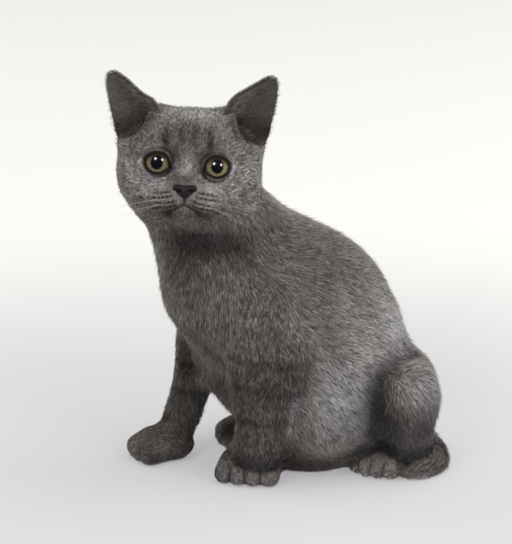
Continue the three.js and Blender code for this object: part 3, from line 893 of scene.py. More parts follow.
def eye_finish():
    """A gold iris round a tall pupil, darker at its rim, under a wet clear cornea, with the upper lid's
    shadow painted on it.
    """
    finish = Finish("wet_eye")
    across, up_ = finish.value("eye_across"), finish.value("eye_up")
    far = (across * across + up_ * up_) ** 0.5
    pupil = ((across / 2.9) ** 2 + ((up_ - 0.15) / 3.5) ** 2) ** 0.5
    turn = finish.node("ShaderNodeMath", {"operation": "ARCTAN2"}, {0: up_, 1: across})
    around = finish.node("ShaderNodeCombineXYZ", {}, {"X": turn * 5.5, "Y": far * 0.35, "Z": 0.3})
    threads = finish.noise(1000, 3.0, 0.65, around)
    flecks = finish.noise(1.1, 2.0)
    base = finish.node(
        "ShaderNodeValToRGB",
        {
            "stops": [
                (0.42, (0.066, 0.054, 0.030)),
                (0.56, (0.145, 0.120, 0.066)),
                (0.68, (0.205, 0.168, 0.094)),
                (0.76, (0.115, 0.084, 0.045)),
                (0.82, (0.020, 0.014, 0.010)),
            ]
        },
        {"Fac": far / 6.4},
    )
    base = finish.blend(threads.between(0.35, 0.75) * 0.5, base, (0.31, 0.265, 0.155))
    base = finish.blend(flecks.between(0.5, 0.8) * 0.35, base, (0.18, 0.14, 0.06))
    # Painted shadow of the upper lid over the top of the iris.
    lid_shadow = (up_ + 0.5 * far).between(1.2, 5.8) * 0.96
    base = finish.blend(lid_shadow, base, (0.022, 0.014, 0.008))
    base = finish.blend(pupil.between(1.06, 0.96), base, (0.004, 0.005, 0.008))
    return finish.close(
        Base_Color=base, Roughness=0.25, Specular_IOR_Level=0.4, Coat_Weight=1.0, Coat_Roughness=0.015,
        Coat_IOR=1.75,
    )  # fmt: skip


CORNEA, CORNEA_WIDE = 0.5, 4.4  # how far the cornea bulges, over what radius
eye_material = eye_finish()
for side, name in SIDES:
    eyeball = sphere("eyeball_" + name, 48, 32)
    p = points_of(eyeball.data) * EYE_RADIUS
    bulge = CORNEA * np.exp(-((np.hypot(p[:, 0], p[:, 2]) / CORNEA_WIDE) ** 4)) * (p[:, 1] < 0)
    own = np.stack([p[:, 0], -p[:, 1] + bulge, p[:, 2]], 1)
    axes = eye_axes(side)
    write_values(eyeball, eye_across=own[:, 0], eye_up=own[:, 2])
    axes[0] *= side  # both eyes are the same right-handed shape
    move_points(eyeball.data, from_head(EYE_AT[side] + own @ axes))
    face_outwards(eyeball)
    eyeball.data.materials.append(eye_material)
    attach(eyeball, "root")
    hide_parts("eye_" + name)


def lid_finish():
    finish = Finish("dark_lid_margin")
    colour = finish.blend(finish.noise(0.8), (0.007, 0.004, 0.004), (0.016, 0.010, 0.009))
    return finish.close(Base_Color=colour, Roughness=0.5, Specular_IOR_Level=0.22)


LID_TURNS, LID_ROUND = 96, 14
lid_material = lid_finish()
for side, name in SIDES:
    turn = np.linspace(0, 2 * pi, LID_TURNS, endpoint=False)[:, None]
    ring = np.linspace(0, 2 * pi, LID_ROUND, endpoint=False)[None]
    middle = opening_at(turn) - 0.5
    from_axis = middle + (0.80 + 0.15 * corner(turn, INNER_CORNER, 0.3)) * np.cos(ring)
    ahead = np.sqrt((EYE_RADIUS + 0.12) ** 2 - np.minimum(middle, 7.2) ** 2) + 0.62 * np.sin(ring)
    own = np.stack([from_axis * np.cos(turn), ahead + 0 * turn, from_axis * np.sin(turn)], -1)
    place = from_head(EYE_AT[side] + own.reshape(-1, 3) @ eye_axes(side))
    triangles = wall(LID_TURNS, LID_ROUND, closed=True)
    lid_rim = face_outwards(piece_from("lid_margin_" + name, place, triangles))
    lid_rim.data.materials.append(lid_material)
    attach(lid_rim, "root")


# ---- nose leather
NOSE_OUTLINE = np.array(  # from straight up, round to straight down: degrees and millimetres
    [
        (0, 1.8), (25, 2.1), (50, 3.2), (70, 5.6), (86, 6.1),
        (105, 5.1), (128, 4.0), (155, 3.9), (180, 4.5),
    ]
)  # fmt: skip


def nose_finish():
    """Dark slate leather, finely pebbled and slightly damp, with painted shade in the nostrils."""
    finish = Finish("nose_leather")
    sockets = {"Vector": finish.place(), "Scale": 1 / (0.42 * MM)}
    pebbles = finish.node("ShaderNodeTexVoronoi", {"feature": "SMOOTH_F1"}, sockets)
    mottle = finish.noise(1.6, 3.0)
    colour = finish.blend(mottle.between(0.3, 0.7), (0.011, 0.009, 0.012), (0.024, 0.020, 0.025))
    # Painted shade in the nostrils.
    colour = finish.blend(finish.value("hollow"), colour, (0.004, 0.003, 0.004))
    shine = 0.42 + mottle * 0.2
    normal = finish.bump(pebbles, 0.10, 0.55)
    return finish.close(Base_Color=colour, Roughness=shine, Specular_IOR_Level=0.35, Normal=normal)


nose = sphere("nose_leather", 96, 64)
p = points_of(nose.data)
share = np.hypot(p[:, 0], p[:, 2])
turn = np.degrees(np.arctan2(np.abs(p[:, 0]), p[:, 2]))
edge = np.interp(turn, *NOSE_OUTLINE.T)
share = share**0.9
x = share * edge * np.sin(np.radians(turn)) * np.sign(p[:, 0])
z = share * edge * np.cos(np.radians(turn))
ahead = np.where(p[:, 1] < 0, 2.7, 1.5) * -p[:, 1]
flat = np.stack([np.abs(x), z], 1)
nostril = spot(flat, (3.1, -0.6), (1.25, 0.85)) + 0.75 * spot(flat, (4.9, -1.35), (1.35, 0.5))
wing = spot(flat, (4.3, 0.9), (1.9, 0.9))
groove = bell(x, 0.3) * step(0.6, -0.6, z)
is_ahead = p[:, 1] < 0
ahead = ahead + is_ahead * (0.35 * wing - 1.5 * nostril - 0.35 * groove) - 0.25 * z * (z > 0)
own = np.stack([x, -ahead, z], 1)
# Where the nostrils are, for the leather's painted shade.
write_values(nose, hollow=np.clip(nostril * is_ahead, 0, 1))
move_points(nose.data, from_head(NOSE_MIDDLE + own))
nose.data.materials.append(nose_finish())
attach(nose, "root")
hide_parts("nose")


# ---- markings, with painted light and shade
# Soft spots: how strong each is, its middle and its radii in millimetres. Those of the face are in
# the head's frame, alike on both sides, and those of the body in the row frame.
FACE_PALE = [
    (0.75, (14, -8, -10), (7.5, 12, 3.6)),  # muzzle sides, under the eyes
    (0.75, (0, -8, -1.5), (3.6, 12, 5.0)),  # bridge of the nose
    (0.50, (9, -12, -16), (7.5, 10, 4.2)),  # whisker pads
    # painted light, lifting the shade of the sockets by the inner corners
    (0.40, (7.5, -8, -1), (2.2, 12, 4.5)),  # inner sides of the eyes
    (0.10, (16, 4, 21), (6, 16, 6)),  # before the ears
    (0.25, (13, -4, 9.0), (6, 12, 2.2)),  # over the eyes
]
FACE_DARK = [
    (1.00, (10.9, -4, 12.8), (1.8, 14, 5.0)),  # bars over the eyes
    (0.25, (5.8, -8, 4.0), (1.8, 12, 4.0)),  # beside the bridge
    (0.50, (8.6, -8, -6.5), (1.1, 12, 2.8)),  # inner corners of the eyes
    (0.45, (3.4, -6, 16), (1.3, 14, 8)),  # bars up the forehead
    (0.55, (0, -4, 14), (14, 14, 8)),  # forehead
    (0.45, (27, 2, 3.5), (5, 12, 1.6)),  # line behind the eye
    (0.70, (0, -12, -6.4), (5.0, 8, 2.0)),  # over the nose leather
    (0.50, (5.5, -12, -24.5), (5.0, 8, 2.0)),  # under the lip
    (0.50, (12, -4, -27), (20, 14, 7)),  # jaw
]
# Darker fur round the ears' hollows, and painted shade there.
EAR_DARK_AND_SHADE = [  # round the ears' hollows
    (0.80, (22, 26, 17), (4.5, 12, 6)),
    (1.00, (27, 27, 9.5), (6.5, 11, 5.5)),
    (0.85, (24.5, 9, 14), (4.5, 9, 5)),
    (0.65, (20.5, 12, 20), (4, 10, 6)),
]
# Painted shade on the body: behind the shoulder, in the hollow before the thigh, on the far hind paw
# under the body and between the forelegs.
BODY_PAINTED_SHADE = [
    (0.35, (17, 3, 119), (18, 17, 14)),  # behind the shoulder
    (0.80, (46, 40, 36), (10, 7, 12)),  # hollow before the thigh
    (1.00, (-36, -15, 9), (11, 12, 12)),  # far hind paw
    (0.75, (-3, -29, 46), (12, 9, 9)),  # between the forelegs
]
# Painted light on the body: a rim along the front edge of the neck and along the back's edge, and light
# on the thigh and rump.
BODY_PAINTED_LIGHT = [
    (0.30, (-6, -57, 114), (7, 10, 12)),  # front edge of the neck
    (0.60, (53, 56, 52), (14, 16, 17)),  # thigh
    (0.90, (25, 55, 75), (25, 16, 14)),  # rump
    (0.15, (25, 42, 95), (25, 14, 25)),  # edge of the back
]
# The dashed rows on each whisker pad: start, level at the start, slope and end.
WHISKER_ROWS = (
    (7, -12.4, -0.22, 17), (5.8, -14.2, -0.25, 17), (3.6, -16.3, -0.32, 14.5), (3.6, -18.5, -0.36, 17.5)
)  # fmt: skip


def markings(points, shares):
    """How pale, how dark and how warm the coat is at each place, each about 0 to 1.
    Pale holds the coat's own pale marks and painted light, dark its own dark marks and painted shade.
    They are soft spots and bars at named places, the same for the skin and for the tufts.
    Shares tells how far each place is part of the head, of a foreleg and so on; the last is the
    painted shade inside the ears."""
    on_head, on_foreleg, on_paw, on_tail, inner, ear_shade = shares.T
    x, y, z = points.T
    h = to_head(points)
    across = mirrored(h)
    out = across[:, 0]
    d = h - np.where(h[:, :1] > 0, EYE_AT[1], EYE_AT[-1])
    from_eye = np.maximum(np.hypot(d[:, 0], d[:, 2]), 1)
    below = step(0.35, -0.4, d[:, 2] / from_eye)
    outer = step(-0.5, 0.3, d[:, 0] * np.sign(h[:, 0]) / from_eye)
    pale = spots(across, FACE_PALE)
    pale += (0.36 - 0.08 * np.sign(h[:, 0])) * spot(across, (22.5, 0, -4), (5, 14, 9))  # by the eyes
    pale += 1.15 * bell(from_eye - 8.6, 0.8) * below  # rim under the eye
    pale += 0.35 * bell(from_eye - 16.2, 1.1) * below * outer  # arc on the cheek
    dark = spots(across, FACE_DARK)
    dark += 0.75 * bell(from_eye - 7.1, 0.8)  # rims of the lids
    # The lips: their own dark edge, and painted shade in the mouth's groove under the whisker pads.
    dark += 0.90 * bell(mouth_gap(h), 0.7 + 0.1 * out) * step(16, 6, out)  # lips
    for start, level, slope, end in WHISKER_ROWS:
        row = bell(h[:, 2] - level - slope * (out - start), 0.62)
        dash = 0.65 + 0.35 * np.sin(out * 2.9 + 2 * level)
        dark += 2.0 * row * dash * step(start - 1, start + 1, out) * step(end, end - 3, out)
    on_face = step(8, 2, h[:, 1]) * on_head
    pale, dark = pale * on_face, dark * on_face
    # Painted light on the top of the head.
    pale += 0.80 * spot(across, (0, 12, 28), (24, 14, 7)) * on_head  # crown
    dark += spots(across, EAR_DARK_AND_SHADE) * on_head
    # Painted shadow under the chin, on the throat and on the neck below it.
    dark += 1.30 * spot(h, (9, 6, -39.5), (18, 16, 7))  # throat
    dark += 0.35 * spot(h, (10, 6, -48), (24, 16, 13)) * (1 - on_head)
    pale += spots(points, BODY_PAINTED_LIGHT)
    dark += spots(points, BODY_PAINTED_SHADE)
    toes = on_toes(points)
    # The forelegs are darker, partly in their own coat; the far one is darker still, painted shade,
    # though less so along its outer edge higher up and near its paw.
    leg = 0.50 + 0.15 * (x < 0) - 0.45 * step(-27, -38, x) * step(28, 48, z)
    leg -= 0.20 * spot(points, (-30, -47, 19), (8, 9, 12))
    dark += leg * on_foreleg * step(88, 55, z) * (1 - 0.5 * toes)
    bars = np.maximum(np.sin(z / 2.5 + 0.6 * ripple(points, 45, 3)), 0) ** 2
    dark += 0.30 * bars * on_foreleg * step(14, 26, z) * step(92, 68, z)
    # Painted shade low under the belly.
    dark += 0.8 * step(22, 8, z) * step(5, 20, x) * (1 - np.maximum(on_paw, on_tail))  # under the belly
    # The toes are paler, and paler still along their tops where painted light falls; the clefts between
    # them are painted shade.
    pale += 0.18 * toes + 0.28 * toe_tops(points) * step(12, 6, z)
    dark += 0.70 * toe_gaps(points, 0.55)
    # Painted shade in the folds: the hollow before the haunch, behind the near foreleg and under the
    # chest.
    dark += 0.95 * bell(from_line(points, HAUNCH_FOLD), 8.5) * (1 - toes)
    dark += 0.15 * bell(from_line(points, LEG_FOLD), 2)
    dark += 0.65 * bell(from_line(points, CHEST_FOLD), 4)
    # Painted shade under the haunch, over the hock, little on the tail.
    low = z - 0.25 * (x - 40) + 2 * ripple(points, 20, 9)
    hock_shade = step(20, 30, x) * step(30, 38, y) * step(44, 25, low)
    dark += 0.64 * hock_shade * (1 - toes) * (1 - 0.85 * on_tail)
    # Painted shadow of the belly over the hind toes.
    dark += 0.70 * spot(points, (30, 33, 15), (9, 8, 7)) * (1 - toes)  # over the hind toes
    # Painted light along the near foreleg's edge.
    pale += 0.75 * bell(from_line(points, LEG_EDGE), 2.6)
    pale += 0.15 * on_tail
    # The belly is paler, partly in its own coat and partly painted light.
    pale += 1.00 * spot(points, (40, 20, 50), (14, 18, 27)) * (1 - on_foreleg)  # belly
    # Painted light on the far side of the chest, at its edge.
    pale += 0.40 * step(-12, -28, x) * step(-8, -32, y) * step(55, 90, z) * (1 - on_head)  # far side
    soft = ripple(points, 32, 5) * (1 - on_head)
    pale += 0.14 * np.maximum(soft, 0)
    dark = np.maximum(dark + 0.18 * np.maximum(-soft, 0), ear_shade)
    warm = np.maximum(0.35 + 0.25 * ripple(points, 60, 8), inner)
    return np.clip(pale, 0, 1), np.clip(dark, 0, 1), np.clip(warm, 0, 1)


# ---- the skin's fields
net = Net(skin.data)
flesh, normal = points_of(skin.data), normals_of(skin.data)
EAR_KEYS = ("facing", "up_share", "outward", "ear_hollow")
facing, ear_up, ear_out, ear_hollow = (read_value(skin, key) for key in EAR_KEYS)
is_ear = facing != 0
owners = nearest_parts(flesh)
HEAD, EAR = PARTS.index("head"), {1: PARTS.index("ear_left"), -1: PARTS.index("ear_right")}
owners = np.where(is_ear, np.where(to_head(flesh)[:, 0] > 0, EAR[1], EAR[-1]), owners)
owners = np.where(~is_ear & np.isin(owners, list(EAR.values())), HEAD, owners)
table = np.array([COAT[kind] for kind in kinds])[owners]
table = np.where(is_ear[:, None], table, net.spread(table, 10))
depth, length, width, crowd = table.T
h = to_head(flesh)
across = mirrored(h)
out, back_way, up_way = across.T
from_nose = np.linalg.norm(h - (0, -13, -10), axis=1)
on_head = np.where(is_ear, 0, net.spread((owners == HEAD).astype(float), 5))
# Tufts of the head are longer away from the nose, on the cheeks and before the ears, and short
# round the eyes.
face_length = np.clip(1.0 + 0.050 * (from_nose - 6), 1.05, 4.6)
face_length = face_length * (1 + 0.35 * spot(across, (27, 6, -16), (9, 12, 12)))
edge = bell(up_way - np.interp(out, *BROW.T) + 1, 2.6) * step(-4, 3, back_way) * step(30, 24, back_way)
near_ear = np.clip(spot(across, (20, 20, 27), (9, 12, 10)) + edge * step(17, 20, out), 0, 1)
face_length = face_length * (1 + 0.8 * near_ear)
face_length = face_length * (1 - 0.25 * bell(by_eyes(h) - 6, 3.5))
face_length = face_length + ear_hollow * (2.6 - face_length)
# Near the floor the coat is shorter, but not that of the paws and the tail.
low = 0.42 + 0.58 * step(4, 26, flesh[:, 2])
full = [number for number, part in enumerate(PARTS) if "paw" in part or part == "tail"]
low = np.where(np.isin(owners, full), 1, low)
length, depth = length * low, depth * (0.3 + 0.7 * low)
length = length + on_head * (face_length - length)
depth = depth + on_head * (0.42 * face_length + 0.1 - depth)
width = width + on_head * (np.clip(0.19 + 0.025 * face_length, 0.21, 0.32) - width)
crowd = crowd + on_head * (np.clip(11.5 - 2.1 * face_length, 3.6, 9.0) - crowd)
lie = lie_of_coat(flesh, owners)
# Before the ears it grows towards them.
to_ear = unit((0.75, 0.15, 0.65) * np.sign(h[:, :1]) ** (1, 2, 2)) @ HEAD_AXES
turned = (np.clip(near_ear * step(-4, 8, back_way) + ear_hollow, 0, 1) * on_head)[:, None]
lie = lie + 1.6 * turned * to_ear
ear_axes = {side: ear_frame(side)[:3, :3].T @ HEAD_AXES for side in (1, -1)}
inner = np.maximum(np.clip(facing, 0, 1) * step(-0.05, 0.1, ear_up), ear_hollow)
for side, number in EAR.items():
    mine = is_ear & (owners == number)
    outward, _, upward = ear_axes[side]
    outward = outward * side
    u, t = ear_out[mine, None], ear_up[mine, None]
    inside = 0.9 * outward + (0.45 + 0.5 * t) * upward
    outside = upward + 0.25 * u * outward
    lie[mine] = np.where(facing[mine, None] > 0, inside, outside)
    medial = step(0.2, -0.9, ear_out[mine])
    fringe = facing[mine] > 0
    length[mine] = np.where(fringe, 3.2 + 5.5 * medial * (1 - ear_up[mine]), 2.3)
    depth[mine] = np.where(fringe, 0.9 + 1.0 * medial, 0.8)
    crowd[mine] = np.where(fringe, 2.2 + 1.6 * medial, 5.5)
    width[mine] = np.where(fringe, 0.20, 0.26)
swirl = np.stack([ripple(flesh, 30, seed) for seed in (11, 12, 13)], 1)
lie = lie + 0.16 * swirl
lie = np.where(is_ear[:, None], lie, net.spread(lie, 14))
lie = unit(lie - (lie * normal).sum(1, keepdims=True) * normal)

# No tufts stand in the eyes, under the nose leather or inside the skull, and few against the floor.
flesh_faces = [tuple(f.vertices) for f in skin.data.polygons if not is_ear[f.vertices[0]]]
flesh_tree = BVHTree.FromPolygons(flesh.tolist(), flesh_faces)
for i in np.nonzero(is_ear)[0]:
    place, way, _, _ = flesh_tree.find_nearest(flesh[i].tolist())
    if (np.array(place) - flesh[i]) @ np.array(way) > -0.2:
        crowd[i] = 0
for side in (1, -1):
    d, rim = by_gaze(h, side)
    crowd = np.where((d[:, 1] > -2) & (rim < 0.1) & (h[:, 1] < 6), 0, crowd)
over_nose = up_way - NOSE_MIDDLE[2]
leather = np.interp(np.degrees(np.arctan2(out, over_nose)), *NOSE_OUTLINE.T)
crowd = np.where((np.hypot(out, over_nose) < leather - 0.5) & (back_way < -8), 0, crowd)
clefts = np.maximum(bell(mouth_gap(h), 0.7) * step(10.5, 6, out) * on_head, toe_gaps(flesh, 0.9))
length, depth = length * (1 - 0.35 * clefts), depth * (1 - 0.6 * clefts)
crowd = crowd * (1 - 0.5 * clefts)
crowd = np.where((flesh[:, 2] < 1.2) & (normal[:, 2] < -0.6), 0.25 * crowd, crowd)


def share_of(beginning, steps=4):
    """How far each point is part of the parts whose names begin so."""
    members = np.isin(owners, [PARTS.index(part) for part in PARTS if part.startswith(beginning)])
    return np.where(is_ear, 0, net.spread(members.astype(float), steps))


# Painted shade inside the ears, deepest low down, less at their inner edges, and full in the hollows
# where the ears open into the head.
at_edge = step(-0.4, -0.9, ear_out) * step(0.75, 0.5, ear_up)
ear_shade = inner * (0.74 + 0.26 * step(0.5, 0.05, ear_up)) * (1 - 0.35 * at_edge)
ear_shade = np.maximum(ear_shade * is_ear, ear_hollow)
on_paw = share_of("forepaw") + share_of("hindpaw")
on_foreleg = np.clip(share_of("foreleg", 14) + share_of("forepaw", 14), 0, 1)
shares = np.stack([on_head, on_foreleg, on_paw, share_of("tail"), inner, ear_shade], 1)
# The coat's marks with its painted light and painted shade, on the skin.
pale, dark, warm = markings(flesh, shares)

edit(skin, bpy.ops.uv.smart_project, angle_limit=1.15, island_margin=0.002, scale_to_bounds=True)
skin.data.uv_layers.active.name = "OFBake"
for key in EAR_KEYS:
    skin.data.attributes.remove(skin.data.attributes[key])
write_values(skin, pale=pale, dark=dark, warm=warm)


# ---- coat
TUFTS = 248_000
TUFT_PATCH = 0.0028  # how wide a tuft's place on the unwrap is
CLUMP_SHARE = 0.16  # one tuft in about six gathers its neighbours
GUARD_SHARE = 0.12  # guard hairs are longer, stand higher, are finer and gather less
GUARD_LONGER, GUARD_HIGHER, GUARD_WIDTH, GUARD_PULL = 1.18, 1.35, 0.7, 0.4
# How far tufts differ: in shares of their part's length, depth and width, and of the way to their
# clump's tip.
LENGTHS, LIFTS, WIDTHS, PULLS = (0.78, 1.16), (0.75, 1.1), (0.8, 1.2), (0.05, 0.38)
TUFT_LOWEST = 0.15  # in millimetres over the floor
# A tuft's points are its root, three round its middle and its tip.
TUFT_FACES = np.array([(0, 2, 1), (0, 1, 3), (0, 3, 2), (4, 1, 2), (4, 3, 1), (4, 2, 3)])
TUFT_ALONG = (0.0, 0.42, 0.42, 0.5, 1.0)
PATCH = np.array([(-0.5, 0), (0, -0.2), (0, 0.2), (0.1, 0), (0.5, 0)]) * TUFT_PATCH

skin.data.calc_loop_triangles()
triangles = read(skin.data.loop_triangles, "vertices", 3, np.int32)
corners = read(skin.data.loop_triangles, "loops", 3, np.int32)
uv = read(skin.data.uv_layers["OFBake"].data, "uv", 2)[corners]
edge_a = flesh[triangles[:, 1]] - flesh[triangles[:, 0]]
edge_b = flesh[triangles[:, 2]] - flesh[triangles[:, 0]]
area = np.linalg.norm(np.cross(edge_a, edge_b), axis=1) / 2
wanted = area * crowd[triangles].mean(1) * (crowd[triangles].min(1) > 0)
share = np.cumsum(wanted) / wanted.sum()
# Evenly spaced draws keep the tufts from bunching or leaving bald spots.
draws = (np.arange(TUFTS) + rng.uniform(size=TUFTS)) / TUFTS
chosen = np.minimum(np.searchsorted(share, draws), len(share) - 1)
r1, r2 = np.sqrt(rng.uniform(size=TUFTS)), rng.uniform(size=TUFTS)
weights = np.stack([1 - r1, r1 * (1 - r2), r1 * r2], 1)


def at_roots(field):
    """A field of the skin's points, read at each tuft's root."""
    picked = field[triangles[chosen]]
    return (picked * (weights[:, :, None] if field.ndim > 1 else weights)).sum(1)


root, out, along_skin = at_roots(flesh), unit(at_roots(normal)), at_roots(lie)
root_uv = (uv[chosen] * weights[:, :, None]).sum(1)
tuft_length, tuft_depth, tuft_width = at_roots(length), at_roots(depth), at_roots(width)
tuft_owner = owners[triangles[chosen, 0]]
along_skin = unit(along_skin - (along_skin * out).sum(1, keepdims=True) * out)
aside = np.cross(out, along_skin)
guard = rng.uniform(size=TUFTS) < GUARD_SHARE
stretch = rng.uniform(*LENGTHS, TUFTS) * np.where(guard, GUARD_LONGER, 1)
tuft_head = at_roots(on_head)
lift = rng.uniform(*LIFTS, TUFTS) * np.where(guard, GUARD_HIGHER + 0.2 * tuft_head, 1)
veer = rng.normal(0, 1, TUFTS) * (0.12 + 0.05 * tuft_head)
reach = (tuft_length * 0.80 * stretch)[:, None] * (along_skin + veer[:, None] * aside)
rise = (tuft_depth * lift)[:, None] * out
tip = root + reach + rise

# Neighbouring tips gather into soft clumps.
seeds = np.nonzero(rng.uniform(size=TUFTS) < CLUMP_SHARE)[0]
tree = KDTree(len(seeds))
for number, place in enumerate((root[seeds] + 0.5 * reach[seeds]).tolist()):
    tree.insert(place, number)
tree.balance()
clump = seeds[[tree.find(place)[1] for place in (root + 0.5 * reach).tolist()]]
pull = rng.uniform(*PULLS, TUFTS) * np.where(guard, GUARD_PULL, 1)
toward_seed = tip[clump] - tip
far = np.linalg.norm(toward_seed, axis=1)
pull = pull * step(2.6, 1.2, far / np.maximum(tuft_length * 0.35, 0.5))
tip = tip + pull[:, None] * toward_seed

middle = root + 0.40 * (tip - root) + (0.30 * tuft_depth * lift)[:, None] * out
half = (tuft_width * rng.uniform(*WIDTHS, TUFTS) * np.where(guard, GUARD_WIDTH, 1) / 2)[:, None]
flat_up = np.cross(unit(tip - root), aside)
ring = [middle + half * aside, middle - half * aside, middle + 0.75 * half * flat_up]
tuft_points = np.stack([root - 0.25 * out, *ring, tip], 1)
tuft_points[:, :, 2] = np.maximum(tuft_points[:, :, 2], TUFT_LOWEST)

# Tufts differ in tone, most of all on head, legs and paws, and so do clumps. Soft waves run
# across the body's coat.
clump_tone = rng.normal(0, 1, TUFTS)[clump]
waves = np.sin((root * along_skin).sum(1) * 2 * pi / 6.5 + 2.5 * ripple(root, 22, 22))
breast = step(-20, -32, root[:, 1]) * step(70, 85, root[:, 2]) * (1 - tuft_head)
crisp = np.clip(tuft_head + 0.7 * at_roots(on_foreleg) + at_roots(on_paw) + 0.3 * breast, 0, 1.2)
tone = 0.5 + (0.22 + 0.16 * crisp) * rng.normal(0, 1, TUFTS) + (0.13 + 0.25 * crisp) * clump_tone
tone += 0.07 * waves * (1 - tuft_head)
tone = np.clip(tone, 0.05, 1.25)
# The same marks, painted light and painted shade at each tuft's points.
tuft_marks = markings(tuft_points.reshape(-1, 3), np.repeat(at_roots(shares), 5, axis=0))
tuft_pale, tuft_dark, tuft_warm = (values.reshape(-1, 5) for values in tuft_marks)


def fur_finish(name, is_skin):
    """Blue-grey fur: darker at the roots, silvered at the tips, with the markings of the coat and its
    painted light and shade.
    """
    finish = Finish(name)
    pale_, dark_, warm_ = finish.value("pale"), finish.value("dark"), finish.value("warm")
    cool, brown = (0.232, 0.212, 0.195), (0.242, 0.204, 0.172)
    colour = finish.blend(warm_, cool, brown)
    mottle = finish.noise(7, 3.0)
    colour = finish.blend(mottle.between(0.25, 0.75) * 0.35, colour, (0.160, 0.146, 0.138))
    # Pale: the coat's silver marks and painted light.
    silver = finish.blend(warm_, (0.54, 0.53, 0.55), (0.55, 0.53, 0.51))
    colour = finish.blend(pale_ * 0.85, colour, silver)
    # Dark: the coat's dark marks and painted shade.
    deepest = finish.blend(warm_.between(0.6, 1.0), (0.023, 0.017, 0.0155), (0.036, 0.022, 0.015))
    colour = finish.blend(dark_ * 0.92, colour, deepest)
    if is_skin:
        shade = finish.blend(finish.noise(1.2, 2.0), (0.62, 0.61, 0.61), (0.86, 0.85, 0.85))
        strands = finish.noise(0.5, 3.0, 0.6)
        normal = finish.bump(strands, 0.25, 0.6)
        colour = finish.blend(1.0, colour, shade, "MULTIPLY")
        return finish.close(Base_Color=colour, Roughness=0.85, Specular_IOR_Level=0.2, Normal=normal)
    along, tone_ = finish.value("along"), finish.value("tone")
    level = (0.74 + 0.36 * along**1.3) * (0.30 + 1.40 * tone_)
    grey = finish.node("ShaderNodeCombineColor", {}, {"Red": level, "Green": level, "Blue": level})
    colour = finish.blend(1.0, colour, grey, "MULTIPLY")
    return finish.close(
        Base_Color=colour, Roughness=0.7, Specular_IOR_Level=0.18, Sheen_Weight=0.18,
        Sheen_Roughness=0.4,
    )  # fmt: skip


skin.data.materials.clear()
skin.data.materials.append(fur_finish("kitten_skin", True))
coat_material = fur_finish("kitten_coat", False)


def on_parts(*names):
    """Which tufts stand on the named parts."""
    return np.isin(tuft_owner, [PARTS.index(name) for name in names])


root_h = to_head(root)
is_face = on_parts("head") & (root_h[:, 1] < 9)
is_left = root[:, 0] > np.where(root[:, 2] > 70, -4, 3)
on_chest = on_parts("trunk") & (root[:, 2] > 78)
on_belly = on_parts("trunk") & (root[:, 2] <= 78)
groups = {
    "coat_face_left": is_face & (root_h[:, 0] > 0),
    "coat_face_right": is_face & (root_h[:, 0] <= 0),
    "coat_crown": on_parts("head") & ~is_face,
    "coat_ears": on_parts(*EARS),
    "coat_neck": on_parts("neck"),
    "coat_chest_left": on_chest & is_left,
    "coat_chest_right": on_chest & ~is_left,
    "coat_belly_left": on_belly & is_left,
    "coat_belly_right": on_belly & ~is_left,
}
for leg, paw in (("foreleg_", "forepaw_"), ("haunch_", "hindpaw_")):
    for _, name in SIDES:
        groups["coat_" + leg + name] = on_parts(leg + name, paw + name)
groups["coat_tail"] = on_parts("tail")
for name, members in groups.items():
    own = np.nonzero(members)[0]
    points = tuft_points[own].reshape(-1, 3)
    faces = (TUFT_FACES[None] + 5 * np.arange(len(own))[:, None, None]).reshape(-1, 3)
    piece = piece_from(name, points, faces)
    write_values(piece, tone=np.repeat(tone[own], 5), along=np.tile(TUFT_ALONG, len(own)))
    write_values(piece, pale=tuft_pale[own], dark=tuft_dark[own], warm=tuft_warm[own])
    layer = piece.data.uv_layers.new(name="OFBake")
    place = (root_uv[own][:, None] + PATCH[None]).reshape(-1, 2)
    layer.data.foreach_set("uv", place[faces.ravel()].astype(np.float32).ravel())
    piece.data.materials.append(coat_material)
    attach(piece, "root")


# ---- whiskers
WHISKER_BENDS, WHISKER_SIDES = 14, 6


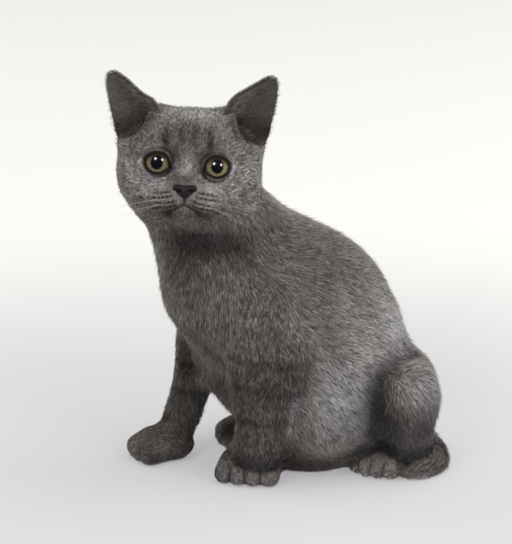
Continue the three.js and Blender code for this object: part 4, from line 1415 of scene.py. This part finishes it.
def whisker(start, way, bend, length, radius):
    """The points and triangles of one fine tapered hair, in the head's frame."""
    t = np.linspace(0, 1, WHISKER_BENDS + 1)[:, None]
    line = np.array(start, float) + length * (unit(way) * t + np.array(bend, float) * t**2)
    along = unit(np.gradient(line, axis=0))
    first = unit(np.cross(along, (0, 1, 0.3)))
    second = np.cross(along, first)
    turn = np.linspace(0, 2 * pi, WHISKER_SIDES, endpoint=False)
    wide = (radius * (1 - 0.85 * t))[:, :, None]
    first, second = first[:, None] * np.cos(turn)[:, None], second[:, None] * np.sin(turn)[:, None]
    tube = line[:, None] + wide * (first + second)
    last = WHISKER_BENDS * WHISKER_SIDES
    caps = [(0, k + 1, k) for k in range(1, WHISKER_SIDES - 1)]
    caps += [(last, last + k, last + k + 1) for k in range(1, WHISKER_SIDES - 1)]
    faces = wall(WHISKER_BENDS + 1, WHISKER_SIDES)
    return tube.reshape(-1, 3), np.concatenate([faces, np.array(caps)])


def whisker_finish():
    finish = Finish("whisker")
    colour = finish.blend(finish.noise(5), (0.30, 0.29, 0.28), (0.42, 0.41, 0.40))
    return finish.close(Base_Color=colour, Roughness=0.4, Specular_IOR_Level=0.4)


# On each side three rows of three on the pad, at these levels and rises, and three over the eye.
PAD_ROWS, PAD_PLACES = ((-13.6, 0.16), (-15.6, 0.0), (-17.8, -0.16)), (6.6, 8.9, 11.2)
BROW_PLACES = (9.5, 12.0, 14.5)
whisker_material = whisker_finish()
own_random = np.random.default_rng(SEED + 1)
skin_tree = BVHTree.FromPolygons(flesh.tolist(), [tuple(f.vertices) for f in skin.data.polygons])
for side, name in SIDES:
    hairs = []
    for level, up_way in PAD_ROWS:
        for place, across_at in enumerate(PAD_PLACES):
            start = (side * across_at, -30, level - 0.25 * (across_at - PAD_PLACES[0]))
            way = (side, -0.42 + 0.18 * place, up_way - 0.05 * place + own_random.normal(0, 0.03))
            bend = (0, 0.16 + 0.05 * place, -0.16 + own_random.normal(0, 0.03))
            hairs.append((start, way, bend, 23 + 2.5 * place + own_random.normal(0, 1.5), 0.075))
    for place, across_at in enumerate(BROW_PLACES):
        start = (side * across_at, -30, 10.2 + 0.5 * place)
        way = (side * (0.35 + 0.15 * place), -0.55, 1)
        hairs.append((start, way, (0.05 * side, 0.25, -0.1), 15 + own_random.normal(0, 1.5), 0.06))
    points, faces, count = [], [], 0
    for start, *shape in hairs:
        hit = skin_tree.ray_cast(from_head(start).tolist(), HEAD_AXES[1].tolist())[0]
        tube, hair_faces = whisker(to_head(np.array(hit)) + (0, 0.4, 0), *shape)
        points.append(from_head(tube))
        faces.append(hair_faces + count)
        count += len(tube)
    piece = piece_from("whiskers_" + name, np.concatenate(points), np.concatenate(faces))
    face_outwards(piece)
    piece.data.materials.append(whisker_material)
    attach(piece, "root")
